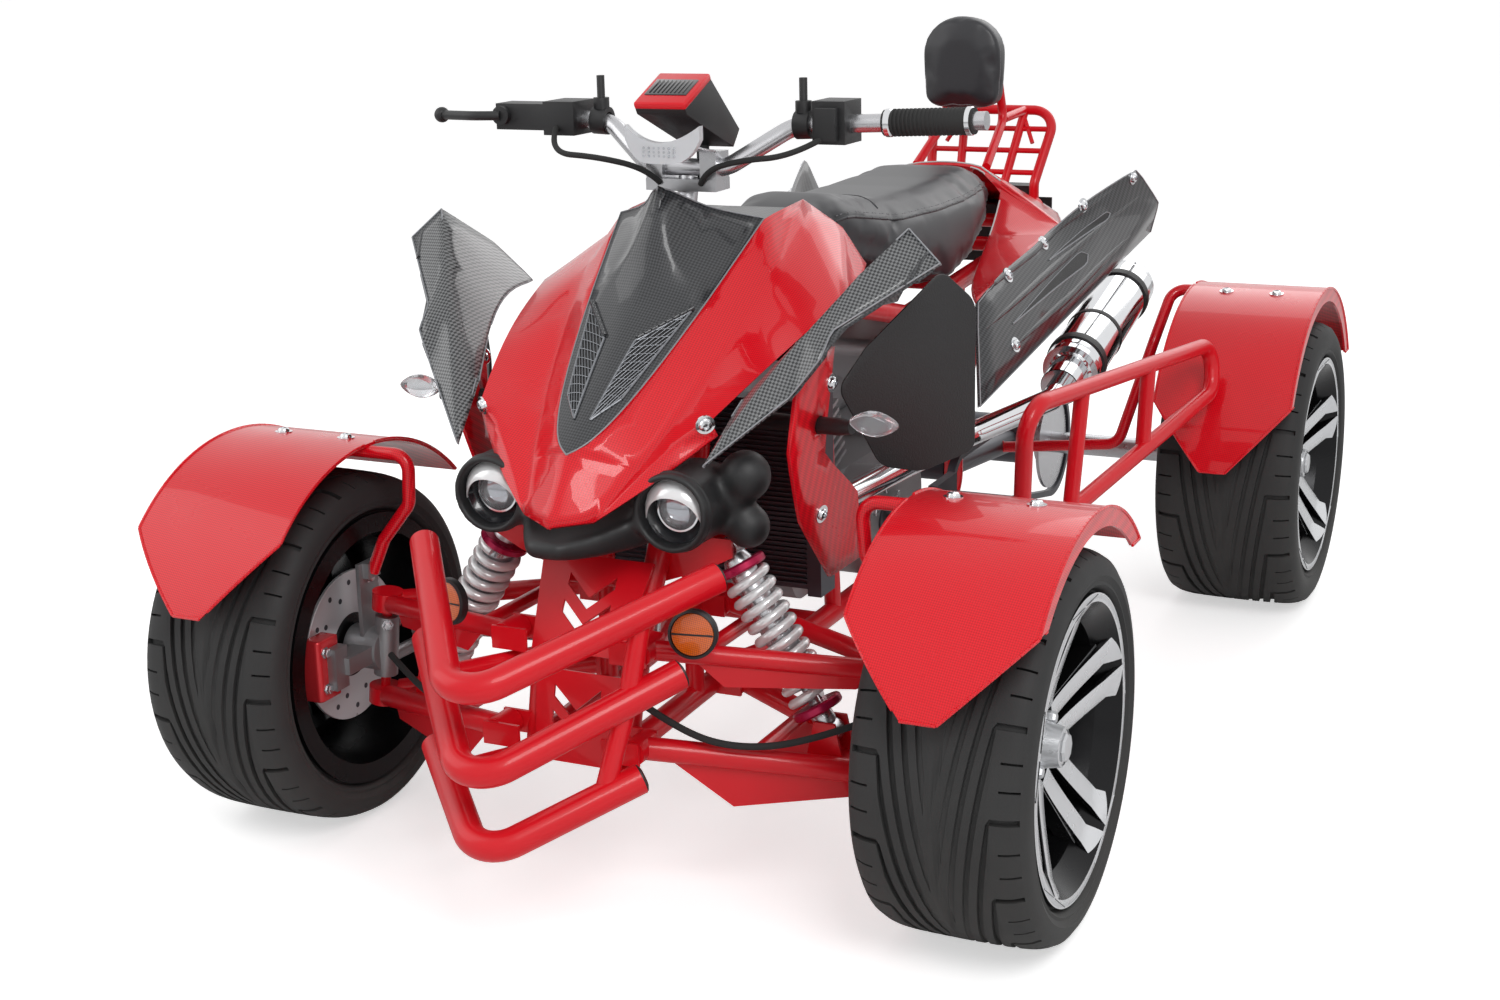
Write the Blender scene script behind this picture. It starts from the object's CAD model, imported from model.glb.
"""Looks of a road-going quad bike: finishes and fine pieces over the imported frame.

Metres.  +Z is up, +X is the rider's left, the front points along -Y.
"""

import logging
import math
from dataclasses import dataclass, field
from enum import Enum
from typing import Optional, Sequence

import bmesh
import bpy
from mathutils import Matrix, Vector
from mathutils.bvhtree import BVHTree

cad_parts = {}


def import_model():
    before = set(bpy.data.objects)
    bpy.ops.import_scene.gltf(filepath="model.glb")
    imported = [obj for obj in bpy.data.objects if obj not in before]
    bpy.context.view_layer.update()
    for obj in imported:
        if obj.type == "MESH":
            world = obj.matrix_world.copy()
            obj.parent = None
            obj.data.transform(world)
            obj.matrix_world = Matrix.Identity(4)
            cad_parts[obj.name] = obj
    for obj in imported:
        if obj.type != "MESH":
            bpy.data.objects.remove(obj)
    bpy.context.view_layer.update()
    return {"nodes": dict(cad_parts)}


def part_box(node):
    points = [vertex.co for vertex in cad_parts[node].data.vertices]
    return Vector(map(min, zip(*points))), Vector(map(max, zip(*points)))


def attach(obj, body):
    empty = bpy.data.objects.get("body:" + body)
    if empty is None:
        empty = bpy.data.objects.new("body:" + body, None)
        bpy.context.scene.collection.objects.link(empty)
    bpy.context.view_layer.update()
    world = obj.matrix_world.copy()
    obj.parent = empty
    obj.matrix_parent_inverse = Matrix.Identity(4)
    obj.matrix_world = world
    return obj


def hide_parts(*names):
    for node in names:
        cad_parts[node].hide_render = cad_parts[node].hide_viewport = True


LOG = logging.getLogger("quad_bike")
STATION_SHIFT = -0.00187       # from the cords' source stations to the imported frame
WELD = 1e-5                    # corners of a CAD mesh closer than this are one
TURN = 2 * math.pi
Point = tuple[float, float, float]
Colour = tuple[float, float, float]
Profile = Sequence[tuple[float, float]]      # radius and height pairs
Thing = bpy.types.Object
SIDES = (1, -1)
SIDE_NAMES = {1: "left", -1: "right"}


def at(x: float, y: float, z: float) -> Vector:
    """A cord's source station in millimetres as a place in metres."""
    return Vector((x / 1000, y / 1000 + STATION_SHIFT, z / 1000))


def other_side(p: Point, side: int) -> Point:
    """The same station on the named side."""
    return (p[0] * side, p[1], p[2])


def facing(place: Vector, normal: Vector, along: Vector) -> Matrix:
    """A frame on a skin: X out of it, Y as near along as can be."""
    out = normal.normalized()
    up = out.cross(along).normalized()
    return Matrix.Translation(place) @ Matrix((out, up.cross(out), up)).transposed().to_4x4()


def aimed(place: Vector, way: Vector, axis: str = "Z", up: str = "Y") -> Matrix:
    """A frame at a place, with the named axis along a direction."""
    return Matrix.Translation(place) @ way.to_track_quat(axis, up).to_matrix().to_4x4()


def round_axle(angle: float, radius: float) -> Vector:
    """A step off a line along X, at an angle from the rear."""
    return Vector((0, math.cos(angle), math.sin(angle))) * radius


def linked(name: str, data: bpy.types.ID) -> Thing:
    """A new object in the scene."""
    thing = bpy.data.objects.new(name, data)
    bpy.context.scene.collection.objects.link(thing)
    return thing


def welded(mesh: bpy.types.Mesh, flatten: bool = True) -> bmesh.types.BMesh:
    """A CAD mesh with its corners welded.

    Args:
        mesh: the mesh, left as it is.
        flatten: whether each flat stretch becomes one face.

    Returns:
        The welded mesh, which the caller frees.
    """
    work = bmesh.new()
    work.from_mesh(mesh)
    bmesh.ops.remove_doubles(work, verts=work.verts, dist=WELD)
    if flatten:
        bmesh.ops.dissolve_limit(work, angle_limit=math.radians(1.0), verts=work.verts, edges=work.edges)
    return work


def thicken(sheet: bmesh.types.BMesh, depth: float) -> None:
    """Make a sheet solid, towards the front of the machine."""
    skin = bmesh.ops.extrude_face_region(sheet, geom=sheet.faces[:])
    moved = [g for g in skin["geom"] if isinstance(g, bmesh.types.BMVert)]
    bmesh.ops.translate(sheet, vec=(0, -depth, 0), verts=moved)
    bmesh.ops.recalc_face_normals(sheet, faces=sheet.faces)


def bake(thing: Thing, kind: str, **values) -> None:
    """Add a modifier and bake it in.

    Args:
        thing: the object.
        kind: the modifier's type.
        **values: its settings.
    """
    modifier = thing.modifiers.new(kind.lower(), kind)
    for label, value in values.items():
        setattr(modifier, label, value)
    shape = bpy.data.meshes.new_from_object(thing.evaluated_get(bpy.context.evaluated_depsgraph_get()))
    thing.modifiers.clear()
    thing.data = shape


def wrapped(source: Thing, name: str, voxel: float) -> Thing:
    """A CAD node's form under one even skin.

    Args:
        source: the CAD node's object.
        name: the new object's name.
        voxel: the skin's grain in metres.

    Returns:
        The new object.
    """
    mesh = source.data.copy()
    work = welded(mesh, flatten=False)
    work.to_mesh(mesh)
    work.free()
    thing = linked(name, mesh)
    bake(thing, "REMESH", mode="VOXEL", voxel_size=voxel, use_smooth_shade=True)
    return thing


def hand_over(thing: Thing, body: str, replaces: Sequence[str] = ()) -> None:
    """Args:
        thing: the object.
        body: the body that it rides on.
        replaces: CAD nodes that it stands for.
    """
    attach(thing, body)
    if replaces:
        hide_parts(*replaces)
    LOG.info("%s rides on %s", thing.name, body)


class Box:
    """A node's box, for placing small pieces by shares of it."""

    def __init__(self, node: str) -> None:
        """Read the node's corners."""
        low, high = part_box(node)
        self.low, self.high = Vector(low), Vector(high)
        self.middle = (self.low + self.high) / 2
        self.size = self.high - self.low

    def spot(self, x: float, y: float, z: float, side: int = 1) -> Vector:
        """A place at shares of the box.

        Args:
            x: share of the way outwards, from the machine's middle or from the node's inner side.
            y: share of the way to the rear.
            z: share of the way up.
            side: 1 for the rider's left, -1 for the right.

        Returns:
            The place in metres.
        """
        near, far = sorted((abs(self.low.x), abs(self.high.x)))
        inner = 0.0 if self.low.x < 0 < self.high.x else near
        return Vector((side * (inner + (far - inner) * x), self.low.y + self.size.y * y,
                       self.low.z + self.size.z * z))


# ------------------------------------------------------------ node groups
class Effect(Enum):
    """Surface effects that several finishes share."""

    GRAIN = "fine_grain"
    WEAVE = "twill_weave"
    DUST = "road_dust"


class EffectLibrary:
    """Builds each shared effect once, as a shader node group."""

    threads = ((0.80, 0.33, 0.50), (-0.62, 0.30, 0.72))      # the two directions of the weave

    def __init__(self) -> None:
        """Start with no groups built."""
        self._groups: dict[Effect, bpy.types.NodeTree] = {}

    def get(self, effect: Effect) -> bpy.types.NodeTree:
        """The group of an effect, built on first use.

        Args:
            effect: which effect is wanted.

        Returns:
            The shader node group.
        """
        if effect not in self._groups:
            makers = {Effect.GRAIN: self._grain, Effect.WEAVE: self._weave, Effect.DUST: self._dust}
            self._groups[effect] = makers[effect]()
        return self._groups[effect]

    @staticmethod
    def _group(effect: Effect, inputs: Sequence[tuple[str, float]], outputs: Sequence[str]) -> tuple:
        """A new group with float sockets.

        Args:
            effect: the effect that it is for.
            inputs: each input's name and first value.
            outputs: the names of the outputs.

        Returns:
            The tree, its input and output nodes, and the object's own coordinates.
        """
        tree = bpy.data.node_groups.new(effect.value, "ShaderNodeTree")
        for label, value in inputs:
            socket = tree.interface.new_socket(label, in_out="INPUT", socket_type="NodeSocketFloat")
            socket.default_value = value
        for label in outputs:
            tree.interface.new_socket(label, in_out="OUTPUT", socket_type="NodeSocketFloat")
        place = tree.nodes.new("ShaderNodeTexCoord").outputs["Object"]
        return tree, tree.nodes.new("NodeGroupInput"), tree.nodes.new("NodeGroupOutput"), place

    @staticmethod
    def math(tree: bpy.types.NodeTree, kind: str, a, b=None, clamp: bool = False):
        """A Math node fed by sockets or numbers.

        Args:
            tree: the tree that it goes in.
            kind: the operation.
            a: first socket or number.
            b: second socket or number, if any.
            clamp: whether the result is held to 0..1.

        Returns:
            The output socket.
        """
        node = tree.nodes.new("ShaderNodeMath")
        node.operation = kind
        node.use_clamp = clamp
        for index, value in enumerate((a, b)):
            if isinstance(value, (int, float)):
                node.inputs[index].default_value = value
            elif value is not None:
                tree.links.new(value, node.inputs[index])
        return node.outputs[0]

    @staticmethod
    def noise(tree: bpy.types.NodeTree, place, scale, detail: float):
        """A noise texture's value.

        Args:
            tree: the tree that it goes in.
            place: the coordinates' socket.
            scale: the scale's socket.
            detail: how many finer layers it has.

        Returns:
            The output socket.
        """
        node = tree.nodes.new("ShaderNodeTexNoise")
        node.inputs["Detail"].default_value = detail
        tree.links.new(place, node.inputs["Vector"])
        tree.links.new(scale, node.inputs["Scale"])
        return node.outputs["Fac"]

    def _grain(self) -> bpy.types.NodeTree:
        """Fine bumps and slow patches from two noises."""
        tree, inner, outer, place = self._group(Effect.GRAIN, (("Fine", 900.0), ("Broad", 7.0)),
                                                ("Height", "Patch"))
        for label, detail, target in (("Fine", 3.0, "Height"), ("Broad", 4.0, "Patch")):
            tree.links.new(self.noise(tree, place, inner.outputs[label], detail), outer.inputs[target])
        return tree

    def _weave(self) -> bpy.types.NodeTree:
        """Crossing threads laid diagonally, for moulded carbon-look panels."""
        tree, inner, outer, place = self._group(Effect.WEAVE, (("Pitch", 0.004),), ("Height", "Shade"))
        waves = []
        for direction in self.threads:
            dot = tree.nodes.new("ShaderNodeVectorMath")
            dot.operation = "DOT_PRODUCT"
            dot.inputs[1].default_value = direction
            tree.links.new(place, dot.inputs[0])
            turns = self.math(tree, "DIVIDE", dot.outputs["Value"], inner.outputs["Pitch"])
            waves.append(self.math(tree, "SINE", self.math(tree, "MULTIPLY", turns, TURN)))
        crossing = self.math(tree, "MULTIPLY", *waves)
        shade = self.math(tree, "ADD", self.math(tree, "MULTIPLY", crossing, 3.0), 1.0)
        tree.links.new(self.math(tree, "MULTIPLY", shade, 0.5, clamp=True), outer.inputs["Shade"])
        tree.links.new(self.math(tree, "ABSOLUTE", crossing), outer.inputs["Height"])
        return tree

    def _dust(self) -> bpy.types.NodeTree:
        """Dust that thins out with height above the ground."""
        tree, inner, outer, place = self._group(Effect.DUST, (("Reach", 0.4), ("Scale", 22.0)), ("Mask",))
        split = tree.nodes.new("ShaderNodeSeparateXYZ")
        tree.links.new(place, split.inputs[0])
        speckle = self.noise(tree, place, inner.outputs["Scale"], 6.0)
        height = self.math(tree, "DIVIDE", split.outputs["Z"], inner.outputs["Reach"])
        near = self.math(tree, "SUBTRACT", 1.0, height, clamp=True)
        tree.links.new(self.math(tree, "MULTIPLY", near, speckle), outer.inputs["Mask"])
        return tree


EFFECTS = EffectLibrary()
DUST_COLOUR = (0.30, 0.28, 0.25)
BUMP_DEPTH = 0.001             # metres that a bump of strength 1 stands for


# ------------------------------------------------------------ finishes
@dataclass(frozen=True)
class Finish:
    """One surface finish: plain shader values with grain, weave and dust over them."""

    name: str
    slot: str                           # the record's material slot that it is mostly used in
    colour: Colour
    second: Optional[Colour] = None     # colour of the patches or threads
    metallic: float = 0.0
    roughness: float = 0.4
    rough_spread: float = 0.12
    specular: float = 0.5
    coat: float = 0.0
    coat_roughness: float = 0.04
    sheen: float = 0.0
    fine: float = 900.0                 # grain, per metre
    bump: float = 0.08
    weave: float = 0.0                  # thread pitch in metres, 0 for none
    dust: float = 0.0

    def build(self) -> bpy.types.Material:
        """Make the material.

        Returns:
            The node material, or the one made before under this name.
        """
        found = bpy.data.materials.get(self.name)
        if found:
            return found
        material = bpy.data.materials.new(self.name)
        material.use_nodes = True
        tree = material.node_tree
        shader = tree.nodes["Principled BSDF"]
        for label, value in (("Metallic", self.metallic), ("Specular IOR Level", self.specular),
                             ("Coat Weight", self.coat), ("Coat Roughness", self.coat_roughness),
                             ("Sheen Weight", self.sheen)):
            shader.inputs[label].default_value = value
        colour, height = self.pattern(tree)
        tree.links.new(colour, shader.inputs["Base Color"])
        self.link_roughness(tree, shader)
        bump = tree.nodes.new("ShaderNodeBump")
        bump.inputs["Strength"].default_value = self.bump
        bump.inputs["Distance"].default_value = BUMP_DEPTH
        tree.links.new(height, bump.inputs["Height"])
        tree.links.new(bump.outputs["Normal"], shader.inputs["Normal"])
        return material

    @staticmethod
    def effect(tree: bpy.types.NodeTree, effect: Effect, **values: float) -> bpy.types.Node:
        """Place a shared effect.

        Args:
            tree: the material's tree.
            effect: which effect.
            **values: its inputs by name.

        Returns:
            The group node.
        """
        node = tree.nodes.new("ShaderNodeGroup")
        node.node_tree = EFFECTS.get(effect)
        for label, value in values.items():
            node.inputs[label].default_value = value
        return node

    @staticmethod
    def mix(tree: bpy.types.NodeTree, factor, first, second):
        """Mix two colours.

        Args:
            tree: the material's tree.
            factor: socket that mixes them.
            first: colour or socket at 0.
            second: colour or socket at 1.

        Returns:
            The mixed colour's socket.
        """
        node = tree.nodes.new("ShaderNodeMix")
        node.data_type = "RGBA"
        tree.links.new(factor, node.inputs["Factor"])
        for socket, value in ((node.inputs[6], first), (node.inputs[7], second)):
            if isinstance(value, tuple):
                socket.default_value = (*value, 1.0)
            else:
                tree.links.new(value, socket)
        return node.outputs[2]

    def pattern(self, tree: bpy.types.NodeTree) -> tuple:
        """The colour and height sockets of this finish.

        Args:
            tree: the material's tree.

        Returns:
            Colour socket and height socket.
        """
        grain = self.effect(tree, Effect.GRAIN, Fine=self.fine)
        shade = tuple(c * 0.82 for c in self.colour)
        factor, height = grain.outputs["Patch"], grain.outputs["Height"]
        if self.weave:
            weave = self.effect(tree, Effect.WEAVE, Pitch=self.weave)
            factor, height = weave.outputs["Shade"], weave.outputs["Height"]
        colour = self.mix(tree, factor, self.colour, self.second or shade)
        if self.dust:
            mask = self.effect(tree, Effect.DUST).outputs["Mask"]
            amount = EFFECTS.math(tree, "MULTIPLY", mask, self.dust, clamp=True)
            colour = self.mix(tree, amount, colour, DUST_COLOUR)
        return colour, height

    def link_roughness(self, tree: bpy.types.NodeTree, shader: bpy.types.Node) -> None:
        """Let the roughness drift round its value.

        Args:
            tree: the material's tree.
            shader: the shader that it feeds.
        """
        grain = self.effect(tree, Effect.GRAIN, Fine=60.0, Broad=11.0)
        ramp = tree.nodes.new("ShaderNodeMapRange")
        ramp.inputs["To Min"].default_value = max(0.02, self.roughness - self.rough_spread)
        ramp.inputs["To Max"].default_value = min(1.0, self.roughness + self.rough_spread)
        tree.links.new(grain.outputs["Patch"], ramp.inputs["Value"])
        tree.links.new(ramp.outputs["Result"], shader.inputs["Roughness"])


@dataclass(frozen=True)
class MachinedFaceFinish(Finish):
    """Bright turned metal on faces that look along the axle, gloss black elsewhere."""

    dark: Colour = (0.012, 0.012, 0.013)
    faces_out: float = 0.72      # how squarely a bright face looks outwards

    def pattern(self, tree: bpy.types.NodeTree) -> tuple:
        """Bright and dark parted by the direction that a face looks.

        Args:
            tree: the material's tree.

        Returns:
            Colour socket and height socket.
        """
        colour, height = super().pattern(tree)
        aside = []
        for kind, output in (("ShaderNodeNewGeometry", "True Normal"), ("ShaderNodeTexCoord", "Object")):
            split = tree.nodes.new("ShaderNodeSeparateXYZ")
            tree.links.new(tree.nodes.new(kind).outputs[output], split.inputs[0])
            aside.append(split.outputs["X"])
        outward = EFFECTS.math(tree, "MULTIPLY", aside[0], EFFECTS.math(tree, "SIGN", aside[1]))
        bright = EFFECTS.math(tree, "GREATER_THAN", outward, self.faces_out)
        return self.mix(tree, bright, self.dark, colour), height


@dataclass(frozen=True)
class GlassFinish(Finish):
    """Clear moulded lens."""

    through: float = 0.85        # share of the light that passes

    def build(self) -> bpy.types.Material:
        """Make the clear material.

        Returns:
            The node material.
        """
        material = super().build()
        shader = material.node_tree.nodes["Principled BSDF"]
        shader.inputs["Transmission Weight"].default_value = self.through
        shader.inputs["IOR"].default_value = 1.46
        return material


PAINT = Finish("frame_paint", "frame_red", (0.80, 0.004, 0.014), roughness=0.34, coat=0.25, specular=0.30,
               fine=420, bump=0.04, dust=0.04)
BODY = Finish("body_paint", "body_red", (0.86, 0.004, 0.016), (0.62, 0.003, 0.010), roughness=0.30,
              coat=0.45, specular=0.25, weave=0.0042, bump=0.012)
CARBON = Finish("dark_weave", "carbon_grey", (0.014, 0.015, 0.017), (0.066, 0.068, 0.073), roughness=0.32,
                coat=0.40, specular=0.35, weave=0.0056, bump=0.03)
WEAVE = Finish("light_weave", "carbon_grey", (0.016, 0.017, 0.019), (0.20, 0.205, 0.21), roughness=0.30,
               coat=0.45, specular=0.35, weave=0.0064, bump=0.03)
PLASTIC = Finish("moulded_black", "black_plastic", (0.010, 0.010, 0.011), roughness=0.48, fine=1600,
                 bump=0.20)
RUBBER = Finish("road_rubber", "tyre_rubber", (0.014, 0.014, 0.015), (0.024, 0.024, 0.024), roughness=0.70,
                fine=700, bump=0.22, dust=0.12)
ALLOY = MachinedFaceFinish("turned_alloy", "alloy", (0.78, 0.79, 0.81), metallic=0.70, roughness=0.26,
                           fine=2200, bump=0.05)
SATIN = Finish("satin_alloy", "alloy", (0.66, 0.67, 0.69), metallic=0.45, roughness=0.30, fine=1500,
               bump=0.05)
CAST = Finish("cast_alloy", "cast_metal", (0.34, 0.34, 0.35), metallic=0.75, roughness=0.46, fine=800,
              bump=0.35, dust=0.15)
STEEL = Finish("brushed_steel", "steel", (0.60, 0.60, 0.62), metallic=0.9, roughness=0.28, fine=1400,
               bump=0.05)
DARK = Finish("dark_steel", "dark_steel", (0.026, 0.027, 0.029), metallic=0.4, roughness=0.46, fine=900,
              bump=0.15, dust=0.2)
CHROME = Finish("polished_chrome", "chrome", (0.80, 0.81, 0.83), metallic=1.0, roughness=0.10,
                rough_spread=0.04, fine=500, bump=0.01)
SPRING = Finish("spring_white", "spring_white", (0.82, 0.83, 0.85), roughness=0.30, coat=0.3, fine=600,
                bump=0.05)
CALIPER = Finish("caliper_red", "caliper_red", (0.50, 0.006, 0.012), roughness=0.36, fine=700, bump=0.15)
LEATHER = Finish("seat_leather", "seat_leather", (0.012, 0.012, 0.013), roughness=0.36, coat=0.15,
                 coat_roughness=0.2, fine=520, bump=0.35, sheen=0.08)
GRAINED = Finish("grained_black", "black_plastic", (0.013, 0.013, 0.014), (0.022, 0.022, 0.023),
                 roughness=0.50, fine=420, bump=0.55)
GRIP = Finish("grip_rubber", "grip_rubber", (0.012, 0.012, 0.012), roughness=0.62, fine=900, bump=0.30)
THREAD = Finish("seam_thread", "seat_leather", (0.20, 0.20, 0.21), roughness=0.70, fine=2600, bump=0.40)
EDGE = Finish("edge_bead", "carbon_grey", (0.30, 0.31, 0.33), roughness=0.40, fine=1500, bump=0.05)
PIPING = Finish("cowl_piping", "body_red", (0.70, 0.70, 0.70), roughness=0.42, fine=1500, bump=0.05)
GLASS = GlassFinish("clear_lens", "lamp_glass", (0.92, 0.94, 0.97), roughness=0.06, rough_spread=0.03,
                    fine=300, bump=0.05)
FROSTED = GlassFinish("frosted_lens", "lamp_glass", (0.88, 0.90, 0.93), roughness=0.34, fine=500, bump=0.12,
                      through=0.30)
AMBER = Finish("amber_reflector", "lamp_glass", (0.80, 0.16, 0.006), (0.55, 0.08, 0.004), roughness=0.18,
               coat=0.8, weave=0.0034, bump=0.20)
TAIL_RED = Finish("tail_lens_red", "lamp_glass", (0.42, 0.004, 0.006), (0.60, 0.010, 0.012), roughness=0.12,
                  coat=0.8, weave=0.0040, bump=0.15)
COLLAR = Finish("collar_magenta", "frame_red", (0.50, 0.010, 0.075), metallic=0.5, roughness=0.28, fine=900,
                bump=0.05)
WIRE = Finish("grille_wire", "steel", (0.26, 0.27, 0.29), metallic=0.6, roughness=0.34, fine=1200, bump=0.05)
DISPLAY = Finish("gauge_display", "black_plastic", (0.014, 0.015, 0.018), roughness=0.14, coat=0.8, fine=300,
                 bump=0.01)

NODE_FINISHES = {finish.slot: finish for finish in (
    PAINT, BODY, CARBON, PLASTIC, RUBBER, ALLOY, CAST, STEEL, DARK, CHROME, SPRING, CALIPER, LEATHER, GRIP,
    GLASS)}


# ------------------------------------------------------------ making pieces
class Piece:
    """A mesh in the making that ends as one object riding on a body."""

    def __init__(self, name: str, body: str, finish: Finish, slot: str = "") -> None:
        """Start an empty mesh.

        Args:
            name: the piece's plain name.
            body: the body that it rides on.
            finish: its surface.
            slot: the record's material slot, when it isn't the finish's own.
        """
        self.name, self.body, self.finish = name, body, finish
        self.slot = slot or finish.slot
        self.bm = bmesh.new()

    def lathe(self, profile: Profile, base: Vector, axis: Vector, steps: int = 40) -> None:
        """Turn a profile round an axis.

        Args:
            profile: radius and height pairs, in metres.
            base: where height 0 lies.
            axis: the direction of height.
            steps: faces round the turn.
        """
        work = bmesh.new()
        ring = [work.verts.new((radius, 0, height)) for radius, height in profile]
        edges = [work.edges.new(pair) for pair in zip(ring, ring[1:])]
        bmesh.ops.spin(work, geom=ring + edges, cent=(0, 0, 0), axis=(0, 0, 1), angle=TURN, steps=steps,
                       use_merge=True, use_duplicate=False)
        bmesh.ops.remove_doubles(work, verts=work.verts, dist=1e-6)
        bmesh.ops.recalc_face_normals(work, faces=work.faces)
        self.take(work, aimed(base, axis))

    def bar(self, start: Vector, end: Vector, radius: float, segments: int = 16) -> None:
        """A bar with softened ends.

        Args:
            start: one end.
            end: the other end.
            radius: its radius in metres.
            segments: faces round it.
        """
        length = (end - start).length
        soft = min(radius * 0.3, length * 0.2)
        inner = radius - soft
        profile = ((0, 0), (inner, 0), (radius, soft), (radius, length - soft), (inner, length), (0, length))
        self.lathe(profile, start, end - start, segments)

    def chain(self, places: Sequence[Vector], radius: float, segments: int, closed: bool = False) -> None:
        """Bars from each place to the next.

        Args:
            places: the places in order.
            radius: of every bar, in metres.
            segments: faces round a bar.
            closed: whether a last bar leads back to the first place.
        """
        for first, second in zip(places, [*places[1:], *places[:closed]]):
            self.bar(first, second, radius, segments)

    def slab(self, size: Point, place: Matrix, edge: float) -> None:
        """A block with rounded edges.

        Args:
            size: its three sides in metres.
            place: where its middle goes.
            edge: the rounding in metres.
        """
        work = bmesh.new()
        bmesh.ops.create_cube(work, size=1.0)
        bmesh.ops.scale(work, vec=size, verts=work.verts)
        bmesh.ops.bevel(work, geom=work.edges[:], offset=edge, affect="EDGES", segments=3, profile=0.5,
                        material=-1)
        self.take(work, place)

    def take(self, work: bmesh.types.BMesh, place: Matrix) -> None:
        """Add a finished part of the mesh.

        Args:
            work: the part, freed afterwards.
            place: where it goes.
        """
        bmesh.ops.transform(work, matrix=place, verts=work.verts)
        spare = bpy.data.meshes.new("spare")
        work.to_mesh(spare)
        self.bm.from_mesh(spare)
        work.free()
        bpy.data.meshes.remove(spare)

    def done(self, replaces: Sequence[str] = (), angle: float = 35.0) -> Thing:
        """Make the object.

        Args:
            replaces: CAD nodes that it stands for.
            angle: edges sharper than this stay sharp, in degrees.

        Returns:
            The finished object.
        """
        mesh = bpy.data.meshes.new(self.name)
        for face in self.bm.faces:
            face.smooth = True
        self.bm.to_mesh(mesh)
        self.bm.free()
        mesh.set_sharp_from_angle(angle=math.radians(angle))
        thing = linked(self.name, mesh)
        mesh.materials.append(self.finish.build())
        hand_over(thing, self.body, replaces)
        return thing


def turned(name: str, body: str, finish: Finish, profile: Profile, base: Vector, axis: Vector,
           steps: int = 40, replaces: Sequence[str] = ()) -> None:
    """A whole piece that is one turned profile.

    Args:
        name: the piece's plain name.
        body: the body that it rides on.
        finish: its surface.
        profile: radius and height pairs, in metres.
        base: where height 0 lies.
        axis: the direction of height.
        steps: faces round the turn.
        replaces: CAD nodes that it stands for.
    """
    piece = Piece(name, body, finish)
    piece.lathe(profile, base, axis, steps)
    piece.done(replaces)


def coat(thing: Thing, finish: Finish) -> None:
    """Smooth shading and one finish.

    Args:
        thing: the object.
        finish: its surface.
    """
    thing.data.materials.clear()
    thing.data.materials.append(finish.build())
    for face in thing.data.polygons:
        face.use_smooth = True


class Surface:
    """The skin of an object, to set small pieces on."""

    def __init__(self, thing: Thing) -> None:
        """Read the object's mesh."""
        self.mesh = thing.data
        self.tree = BVHTree.FromPolygons([v.co for v in self.mesh.vertices],
                                         [p.vertices for p in self.mesh.polygons])

    def seat(self, near: Vector, outward: Vector) -> tuple[Vector, Vector]:
        """The nearest place on the skin.

        Args:
            near: a place close to it.
            outward: roughly which way is out.

        Returns:
            The place and the outward direction there.
        """
        place, normal, _, _ = self.tree.find_nearest(near)
        return place, normal if normal.dot(outward) > 0 else -normal

    def drop(self, near: Vector, outward: Vector, height: float = 0.09) -> tuple[Vector, Vector]:
        """The outer skin over or under a place, looked for from outside.

        Args:
            near: a place close to the skin.
            outward: which way is out.
            height: how far out to start.

        Returns:
            The place and the outward direction there.
        """
        way = outward.normalized()
        place, normal, _, _ = self.tree.ray_cast(near + way * height, -way, 2 * height)
        if place is None:
            return self.seat(near, outward)
        return place, normal if normal.dot(way) > 0 else -normal

    def disc(self, near: Vector, outward: Vector, reach: float = 0.060) -> tuple[Vector, Vector]:
        """The flat round end of a tube.

        Args:
            near: a place close to it.
            outward: roughly which way it looks.
            reach: how far from the place it may lie.

        Returns:
            Its middle and the way that it looks.
        """
        way = outward.normalized()
        faces = [f for f in self.mesh.polygons
                 if f.normal.dot(way) > 0.9 and (f.center - near).length < reach]
        if not faces:
            raise ValueError(f"no flat end near {tuple(near)}")
        first = min(faces, key=lambda f: (f.center - near).length)
        level = first.normal.dot(first.center)
        same = [f for f in faces if f.normal.dot(first.normal) > 0.999
                and abs(f.normal.dot(f.center) - level) < 0.0005]
        spots = [self.mesh.vertices[i].co for i in {i for f in same for i in f.vertices}]
        return sum(spots, Vector()) / len(spots), first.normal.copy()


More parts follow.
